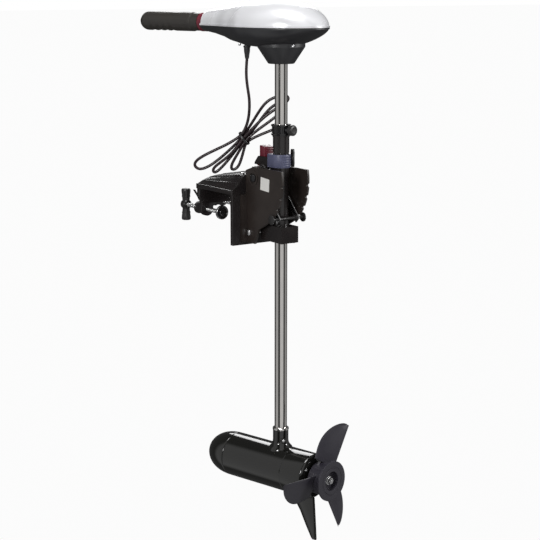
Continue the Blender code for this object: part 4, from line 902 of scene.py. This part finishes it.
def make_housing():
    housing = half_dome("housing_shell", head_keel, 0, -1)
    join(housing, prism("lip", head_plan(0.0012), HEAD_SEAM - 0.0036, HEAD_SEAM - GAP / 2, "Z"))
    cone = based(CONE_BOTTOM, (0, 0), (CONE_BOTTOM_R - 0.0015, 0), (CONE_BOTTOM_R, 0.0012)) + based(CONE_TOP,
            (CONE_TOP_R, 0), (CONE_TOP_R, 0.012), (0, 0.012))
    join(housing, turned("cone", cone))
    hollow = half_dome("hollow", head_keel, HEAD_WALL, -1)
    join(hollow, turned("inner_cone", [(0, CONE_BOTTOM + 0.006), (CONE_BOTTOM_R - 0.005, CONE_BOTTOM + 0.006),
            (CONE_TOP_R - 0.005, CONE_TOP + 0.002), (CONE_TOP_R - 0.005, CONE_TOP + 0.02), (0, CONE_TOP + 0.02)]))
    mouth = prism("mouth", head_plan(-HEAD_WALL, 3), HEAD_SEAM - 0.0012, HEAD_SEAM + 0.001, "Z")
    shaft_way = rod("way", SHAFT_R + GAP, 0.88, 0.95)
    gland_way = rod("way", 0.0062, 0.92, 0.96, at=(GLAND_X, 0, 0), sides=SMALL)
    return cut(housing, hollow, mouth, shaft_way, gland_way)


cover, housing = make_cover(), make_housing()
for shell in (cover, housing):
    cut(shell, rod("way", HANDLE_TUBE_R + 0.0012, 0.19, 0.24, "X", at=(0, 0, HANDLE_Z), sides=40))
dress(cover, pearl, "shaft", "silver_cover", "head_cover", edge=0.0005, sharp=38)
dress(housing, charcoal, "shaft", "charcoal_plastic", "head_housing", edge=0.0005, sharp=38)
gland_profile = based(GLAND_TOP, (LEAD_R + 0.0003, 0), (0.008, 0), (0.008, -0.0035), (0.0058, -0.0035))
gland_profile += based(GLAND_END, (0.0058, 0.01), (0.0082, 0.0105), (0.0082, 0.0075), (0.007, 0.006),
                       (0.0066, -0.002), (0.0056, -0.008), (0.0048, -0.014), (0.0042, -0.018),
                       (LEAD_R + 0.0003, -0.018))
dress(turned("strain_relief", gland_profile, at=(GLAND_X, 0, 0), sides=36), nylon_black, "shaft", "black_plastic",
      "cable_gland")
head_screws = (("gland_screw", 0.1125, 0.012, 0.9462, 0.003), ("housing_screw", -0.06, 0.03, 0.947, 0.0032))
for name, x, y, z, r in head_screws:
    screw = [(0, z - 0.002), (r, z - 0.001), (r, z + 0.003), (0, z + 0.003)]
    dress(turned(name, screw, at=(x, y, 0), sides=24), zinc, "shaft", "zinc_steel", edge=0.0002)
board = moulded("board_resin", (0.02, 0.13, 0.05), 0.42, grain=400, depth=0.04)
switch_white = moulded("switch_case", (0.7, 0.69, 0.65), 0.42, grain=700, depth=0.05)
finish_nodes(board, "control_board")
finish_nodes(switch_white, "speed_switch")

# Tiller: a stainless tube that telescopes over the speed rod, with a twist grip of soft warm-grey rubber. A red ring
# marks where it enters the head.
GRIP_R, GRIP_END, GRIP_START, RING_LENGTH, SPEED_ROD_R = 0.0215, 0.431, 0.2405, 0.0175, 0.006
grip_soft = moulded("grip_rubber", (0.03, 0.026, 0.021), 0.4, grain=1100, depth=0.14, patches=26,
                    tint=(0.022, 0.019, 0.018))


def make_grip():
    """The grip: collared at its root, scalloped below for four fingers, and rounded off at its end."""
    loops = []
    stations = [GRIP_START, GRIP_START + 0.0008, GRIP_START + 0.002, 0.2605, 0.262, 0.2645, 0.268]
    stations += [0.268 + 0.0025 * n for n in range(1, 55)]
    stations += [0.405 + 0.0236 * sin(pi / 2 * n / 12) for n in range(1, 12)] + [0.43, GRIP_END]
    for x in stations:
        end = max(0.0, (x - 0.41) / (GRIP_END - 0.41))
        radius = GRIP_R - 0.0015 * (x <= 0.2625) - 0.001 * (x == GRIP_START)
        wave = 0.0022 * (1 - cos(2 * pi * (x - 0.32) / 0.021)) / 2 if 0.32 <= x <= 0.404 else 0.0
        loop = []
        for n in range(56):
            t = 2 * pi * n / 56
            crown = max(0.0, sin(t))
            r = radius - end ** 2.6 * (0.0095 + 0.003 * crown) - wave * max(0.0, -sin(t)) ** 1.5
            r -= 0.0006 * (abs((t / (2 * pi) * 14) % 1 - 0.5) > 0.42) * (0.272 < x < 0.316)
            loop.append((x, r * cos(t), HANDLE_Z + r * sin(t)))
        loops.append(loop)
    grip = lofted("grip_sleeve", loops)
    return cut(grip, rod("way", HANDLE_TUBE_R + GAP, GRIP_START - 0.01, GRIP_END - 0.012, "X", at=(0, 0, HANDLE_Z),
                         sides=40))


handle_at = (0, 0, HANDLE_Z)
dress(make_grip(), grip_soft, "handle", "grip_rubber", "twist_grip", sharp=40)
dress(rod("telescope_tube", HANDLE_TUBE_R, 0.1, GRIP_END - 0.0125, "X", bore=SPEED_ROD_R + RUNNING, at=handle_at,
          sides=64), polished, "handle", "stainless", "handle_tube")
ring_low, ring_high, ring_r = HEAD_FRONT + 0.001, HEAD_FRONT + 0.001 + RING_LENGTH, GRIP_R - 0.0005
ring = based(ring_low, (HANDLE_TUBE_R + RUNNING, 0), (ring_r - 0.001, 0), (ring_r, 0.001), (ring_r, 0.005),
             (ring_r - 0.0012, 0.006)) + based(ring_high, (ring_r - 0.0012, -0.006), (ring_r, -0.005),
        (ring_r, -0.001), (ring_r - 0.001, 0), (HANDLE_TUBE_R + RUNNING, 0))
dress(turned("marker_ring", ring, "X", at=handle_at), lever_red, "speed_control", "red_plastic", "handle_ring")
finish_nodes(zinc, "speed_rod")

# Motor: a permanent-magnet motor in a sealed aluminium case with glossy black paint: a bullet nose, the can with the
# shaft's socket on it, and the rear bell, held by two long bolts. A skeg under it guards the propeller.
MOTOR_WALL, NOSE_TIP, NOSE_SEAM, BELL_SEAM, MOTOR_AFT = 0.004, 0.212, 0.137, -0.04, -0.105
SOCKET_R, SOCKET_TOP, SKEG_TIP, WIRES_R = 0.0175, 0.088, -0.149, 0.0045
SOCKET_SCREW_Z, CASE_BOLT_AT, CASE_BOLT_TURN = 0.066, 0.0385, radians(35)
BEARING_R, SEAL_R, REAR_BEARING = 0.011, 0.009, -0.095
gloss_paint = moulded("gloss_paint", (0.005, 0.005, 0.005), 0.09, grain=240, depth=0.04, patches=9, coat=0.4,
                      tint=(0.008, 0.008, 0.006))


def nose_radius(x):
    share = (x - NOSE_SEAM) / (NOSE_TIP - NOSE_SEAM)
    return MOTOR_R * sqrt(max(0.0, 1 - share ** 2.3))


def make_case():
    """The nose, can and bell, each a hollow shell."""
    inner = MOTOR_R - MOTOR_WALL
    stations = [NOSE_SEAM + (NOSE_TIP - NOSE_SEAM) * sin(pi / 2 * n / 28) for n in range(29)]
    nose = [(MOTOR_R - 0.0006, NOSE_SEAM), (MOTOR_R - 0.0001, NOSE_SEAM + 0.0006)]
    nose += [(nose_radius(x), x) for x in stations[1:-1]] + [(0, NOSE_TIP)]
    hollow = [(0, NOSE_TIP - MOTOR_WALL)]
    hollow += [(nose_radius(x) - MOTOR_WALL, x - MOTOR_WALL * 0.4) for x in reversed(stations[:20])]
    hollow[-1] = (inner, NOSE_SEAM)
    nose = turned("nose_cone", hollow + nose, "X", sides=96)
    can = rod("can_shell", MOTOR_R, BELL_SEAM + GAP, NOSE_SEAM - GAP, "X", chamfer=0.0007, sides=96)
    bell = based(MOTOR_AFT, (0.0062, 0), (0.024, 0), (0.025, 0.0012), (0.029, 0.0012), (0.03, 0), (0.04, 0.0006),
                 (0.0455, 0.0016), (MOTOR_R - 0.002, 0.003), (MOTOR_R - 0.0005, 0.0052), (MOTOR_R, 0.008))
    bell += based(BELL_SEAM, (MOTOR_R, -0.0007), (MOTOR_R - 0.0007, 0), (inner, 0))
    bell += based(MOTOR_AFT, (inner, 0.012), (BEARING_R + GAP, 0.012))
    bell += based(REAR_BEARING, (BEARING_R + GAP, -GAP), (SEAL_R + GAP, -GAP))
    bell += based(MOTOR_AFT, (SEAL_R + GAP, 0.0035), (0.0062, 0.0035))
    bell = turned("bell_shell", bell, "X", sides=96)
    flare = based(MOTOR_R, (0, -0.012), (0.029, -0.012), (0.0262, -0.002), (0.0225, 0.002), (0.0195, 0.006),
                  (0.018, 0.011), (SOCKET_R, 0.016))
    flare += based(SOCKET_TOP, (SOCKET_R, -0.0008), (SOCKET_R - 0.0008, 0), (0, 0))
    join(can, turned("socket", flare, sides=64))
    join(can, rod("screw_boss", 0.0062, 0.015, SOCKET_R + 0.0035, "X", at=(0, 0, SOCKET_SCREW_Z), sides=32,
                  chamfer=0.0008, frame=STEERED @ Matrix.Rotation(radians(150), 4, "Z")))
    cut(can, rod("inside", inner, -0.1, 0.2, "X", sides=64))
    cut(can, rod("way", SHAFT_R + GAP, MOTOR_R + 0.0007, 0.1), rod("way", WIRES_R + GAP, 0.03, 0.06, sides=24))
    return nose, can, bell


def make_skeg():
    """The fin, thick in its middle and thin at its edges, with a rounded toe."""
    fin = [(-0.03, -MOTOR_R + 0.003), (-0.046, -0.07), (-0.061, -0.09), (-0.078, -0.1205), (-0.093, SKEG_TIP + 0.004),
           (-0.0955, SKEG_TIP + 0.0012), (-0.098, SKEG_TIP), (-0.107, SKEG_TIP), (-0.1078, SKEG_TIP + 0.003),
           (-0.106, -0.115), (-0.1035, -0.08), (-0.101, -MOTOR_R + 0.003)]
    inner = [(-0.036, -MOTOR_R + 0.003), (-0.0505, -0.07), (-0.065, -0.09), (-0.0815, -0.1205),
             (-0.0955, SKEG_TIP + 0.007), (-0.0965, SKEG_TIP + 0.005), (-0.098, SKEG_TIP + 0.0035),
             (-0.1045, SKEG_TIP + 0.0035), (-0.105, SKEG_TIP + 0.005), (-0.103, -0.115), (-0.1005, -0.08),
             (-0.098, -MOTOR_R + 0.003)]
    sides = [(inner, -0.003), (fin, -0.0014), (fin, 0.0014), (inner, 0.003)]
    skeg = lofted("skeg_fin", [[(x, y, z) for x, z in row] for row, y in sides])
    return cut(skeg, rod("way", MOTOR_R + GAP, -0.2, 0.2, "X", sides=96))


for shell, node in zip(make_case(), ("motor_nose", "motor_can", "rear_bell")):
    dress(shell, gloss_paint, "shaft", "black_paint", node, sharp=40)
dress(make_skeg(), gloss_paint, "shaft", "black_paint", "skeg", sharp=50)
ring = based(SOCKET_TOP, (SHAFT_R + GAP, GAP), (SOCKET_R + 0.0003, GAP), (SOCKET_R + 0.0008, 0.0012),
             (SOCKET_R + 0.0006, 0.005), (SOCKET_R - 0.0004, 0.006), (SHAFT_R + GAP, 0.006))
dress(turned("silver_ring", ring), polished, "shaft", "stainless", "socket_ring")
for n, turn in enumerate((radians(150), radians(-30))):
    placed = STEERED @ Matrix.Rotation(turn, 4, "Z")
    low = SOCKET_R + (0.0036 if n == 0 else 0.0001)
    screw = based(low, (0, -0.001), (0.0036, -0.001), (0.0036, 0.0006), (0.0026, 0.0016), (0, 0.002))
    dress(turned(f"socket_screw_{n + 1}", screw, "X", at=(0, 0, SOCKET_SCREW_Z), sides=24, frame=placed), zinc,
          "shaft", "zinc_steel")
for n, side in enumerate((-1, 1)):
    y, z = side * CASE_BOLT_AT * cos(CASE_BOLT_TURN), CASE_BOLT_AT * sin(CASE_BOLT_TURN) * side
    head = based(MOTOR_AFT, (0, 0.001), (0.0038, 0.001), (0.0038, -0.0012), (0.0028, -0.002), (0, -0.0022))
    dress(turned(f"case_bolt_{n + 1}", head, "X", at=(0, y, z), sides=24), zinc, "shaft", "zinc_steel")
steel = moulded("bearing_steel", (0.58, 0.58, 0.58), 0.22, metallic=1.0, grain=900, depth=0.02)
ferrite = moulded("ferrite", (0.055, 0.055, 0.06), 0.6, grain=500, depth=0.12)
rubber = moulded("seal_rubber", (0.016, 0.016, 0.016), 0.65, grain=600, depth=0.08)
finish_nodes(steel, "rear_bearing", "front_bearing")
finish_nodes(rubber, "shaft_seal")
finish_nodes(handle_black, "brush_carrier")
finish_nodes(ferrite, "magnet_port", "magnet_starboard", "brush_port", "brush_starboard")

# Rotor and propeller: three blades moulded with their hub in dark grey-violet glass-filled nylon, driven by a pin
# through the stainless axle and held by a washer and a nut in the hub's recess.
PROP_R, HUB_R, HUB_FLANGE_R, HUB_FRONT, HUB_AFT, BLADES = 0.134, 0.036, 0.045, -0.11, -0.153, 3
BLADE_LEAN, BLADE_PITCH, DRIVE_PIN_X = radians(-34), radians(18), HUB_FRONT - 0.006
prop_grey = moulded("propeller_nylon", (0.022, 0.02, 0.029), 0.42, grain=700, depth=0.12, tint=(0.026, 0.024, 0.031))
lamination = moulded("lamination_steel", (0.42, 0.42, 0.43), 0.38, metallic=1.0, grain=800, depth=0.06)
copper = moulded("copper_bars", (0.6, 0.25, 0.12), 0.32, metallic=1.0, grain=600, depth=0.04)


def blade_loops(angle):
    """Sections of one blade from root to tip. The leading edge is curved and the trailing edge nearly straight."""
    root, count, around = HUB_R - 0.004, 26, 28
    middle = (HUB_FRONT + HUB_AFT) / 2 + 0.003
    loops = []
    for n in range(count + 1):
        share = sin(pi / 2 * n / count) ** 0.9
        radius = root + (PROP_R - root) * share
        lead = 0.042 * sqrt(max(0.0, 1 - share ** 2.6)) + 0.01 * sin(pi * share) - 0.004 * share
        trail = 0.015 - 0.004 * share
        reach = max(lead + trail, 0.004)
        thick = (0.0034 * (1 - share) + 0.0011) * min(1.0, 0.25 + 6 * (1 - share))
        pitch = BLADE_PITCH * (1 - 0.35 * share)
        loop = []
        for k in range(around):
            t = 2 * pi * k / around
            along = -trail + reach * (1 + cos(t)) / 2
            off = thick * sin(t) * (1 - 0.25 * cos(t)) + 0.0016 * sin(pi * (1 + cos(t)) / 2)
            side = along * cos(pitch) - off * sin(pitch)
            fore = along * sin(pitch) + off * cos(pitch)
            loop.append((middle + fore, side * cos(angle) + radius * sin(angle), radius * cos(angle) - side *
                         sin(angle)))
        loops.append(loop)
    return loops


def make_propeller():
    hub = based(HUB_FRONT, (0.0055, 0), (HUB_R - 0.004, 0), (HUB_R - 0.001, -0.001), (HUB_R, -0.004))
    hub += based(HUB_AFT, (HUB_R, 0.014), (HUB_R + 0.0015, 0.01), (HUB_FLANGE_R - 0.002, 0.0062),
                 (HUB_FLANGE_R, 0.0042), (HUB_FLANGE_R, 0.001), (HUB_FLANGE_R - 0.001, 0), (0.033, 0),
                 (0.0322, 0.001), (0.03, 0.001), (0.0292, 0), (0.0222, 0), (0.0215, 0.0007), (0.0208, 0.012),
                 (0.0055, 0.012))
    prop = turned("propeller_body", hub, "X", sides=72)
    for n in range(BLADES):
        join(prop, lofted("blade", blade_loops(BLADE_LEAN + n * 2 * pi / BLADES)))
    pin_way = rod("way", 0.0024, -0.0165, 0.0165, "Z", at=(DRIVE_PIN_X, 0, 0), sides=16)
    slot = block("slot", (DRIVE_PIN_X, HUB_FRONT + 0.01), (-0.0024, 0.0024), (-0.0165, 0.0165))
    return cut(prop, pin_way, slot)


dress(make_propeller(), prop_grey, "rotor", "prop_plastic", "propeller", sharp=34)
washer = based(HUB_AFT, (0.0038, 0.0095), (0.0096, 0.0095), (0.01, 0.0099), (0.01, 0.0113), (0.0096, 0.0117),
               (0.0038, 0.0117))
dress(turned("hub_washer", washer, "X", sides=40), zinc, "rotor", "stainless", "prop_washer")
nut = rod("hub_nut", 0.0075, HUB_AFT + 0.0022, HUB_AFT + 0.0092, "X", bore=0.0043, sides=6)
dress(nut, zinc, "rotor", "stainless", "prop_nut", edge=0.0005)
finish_nodes(steel, "motor_axle", "drive_pin")
finish_nodes(lamination, "armature")
finish_nodes(copper, "commutator")

# Battery terminals: the crimped ends of the lead, one in a red sleeve and one in a black one.


def make_terminal(label, sign, look):
    """The sleeve over one crimp."""
    route = [hank(-78 - 5 * n, 31 + 1.2 * n, sign * 3.2 - 4) for n in range(3)]
    return swept("terminal_sleeve_" + label, smooth_path(route, 4), 0.0023, "shaft", look, sides=20)


for label, sign, look in (("positive", 1, lever_red), ("negative", -1, nylon_black)):
    sleeve = make_terminal(label, sign, look)
    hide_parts("terminal_" + label)
    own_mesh(sleeve)
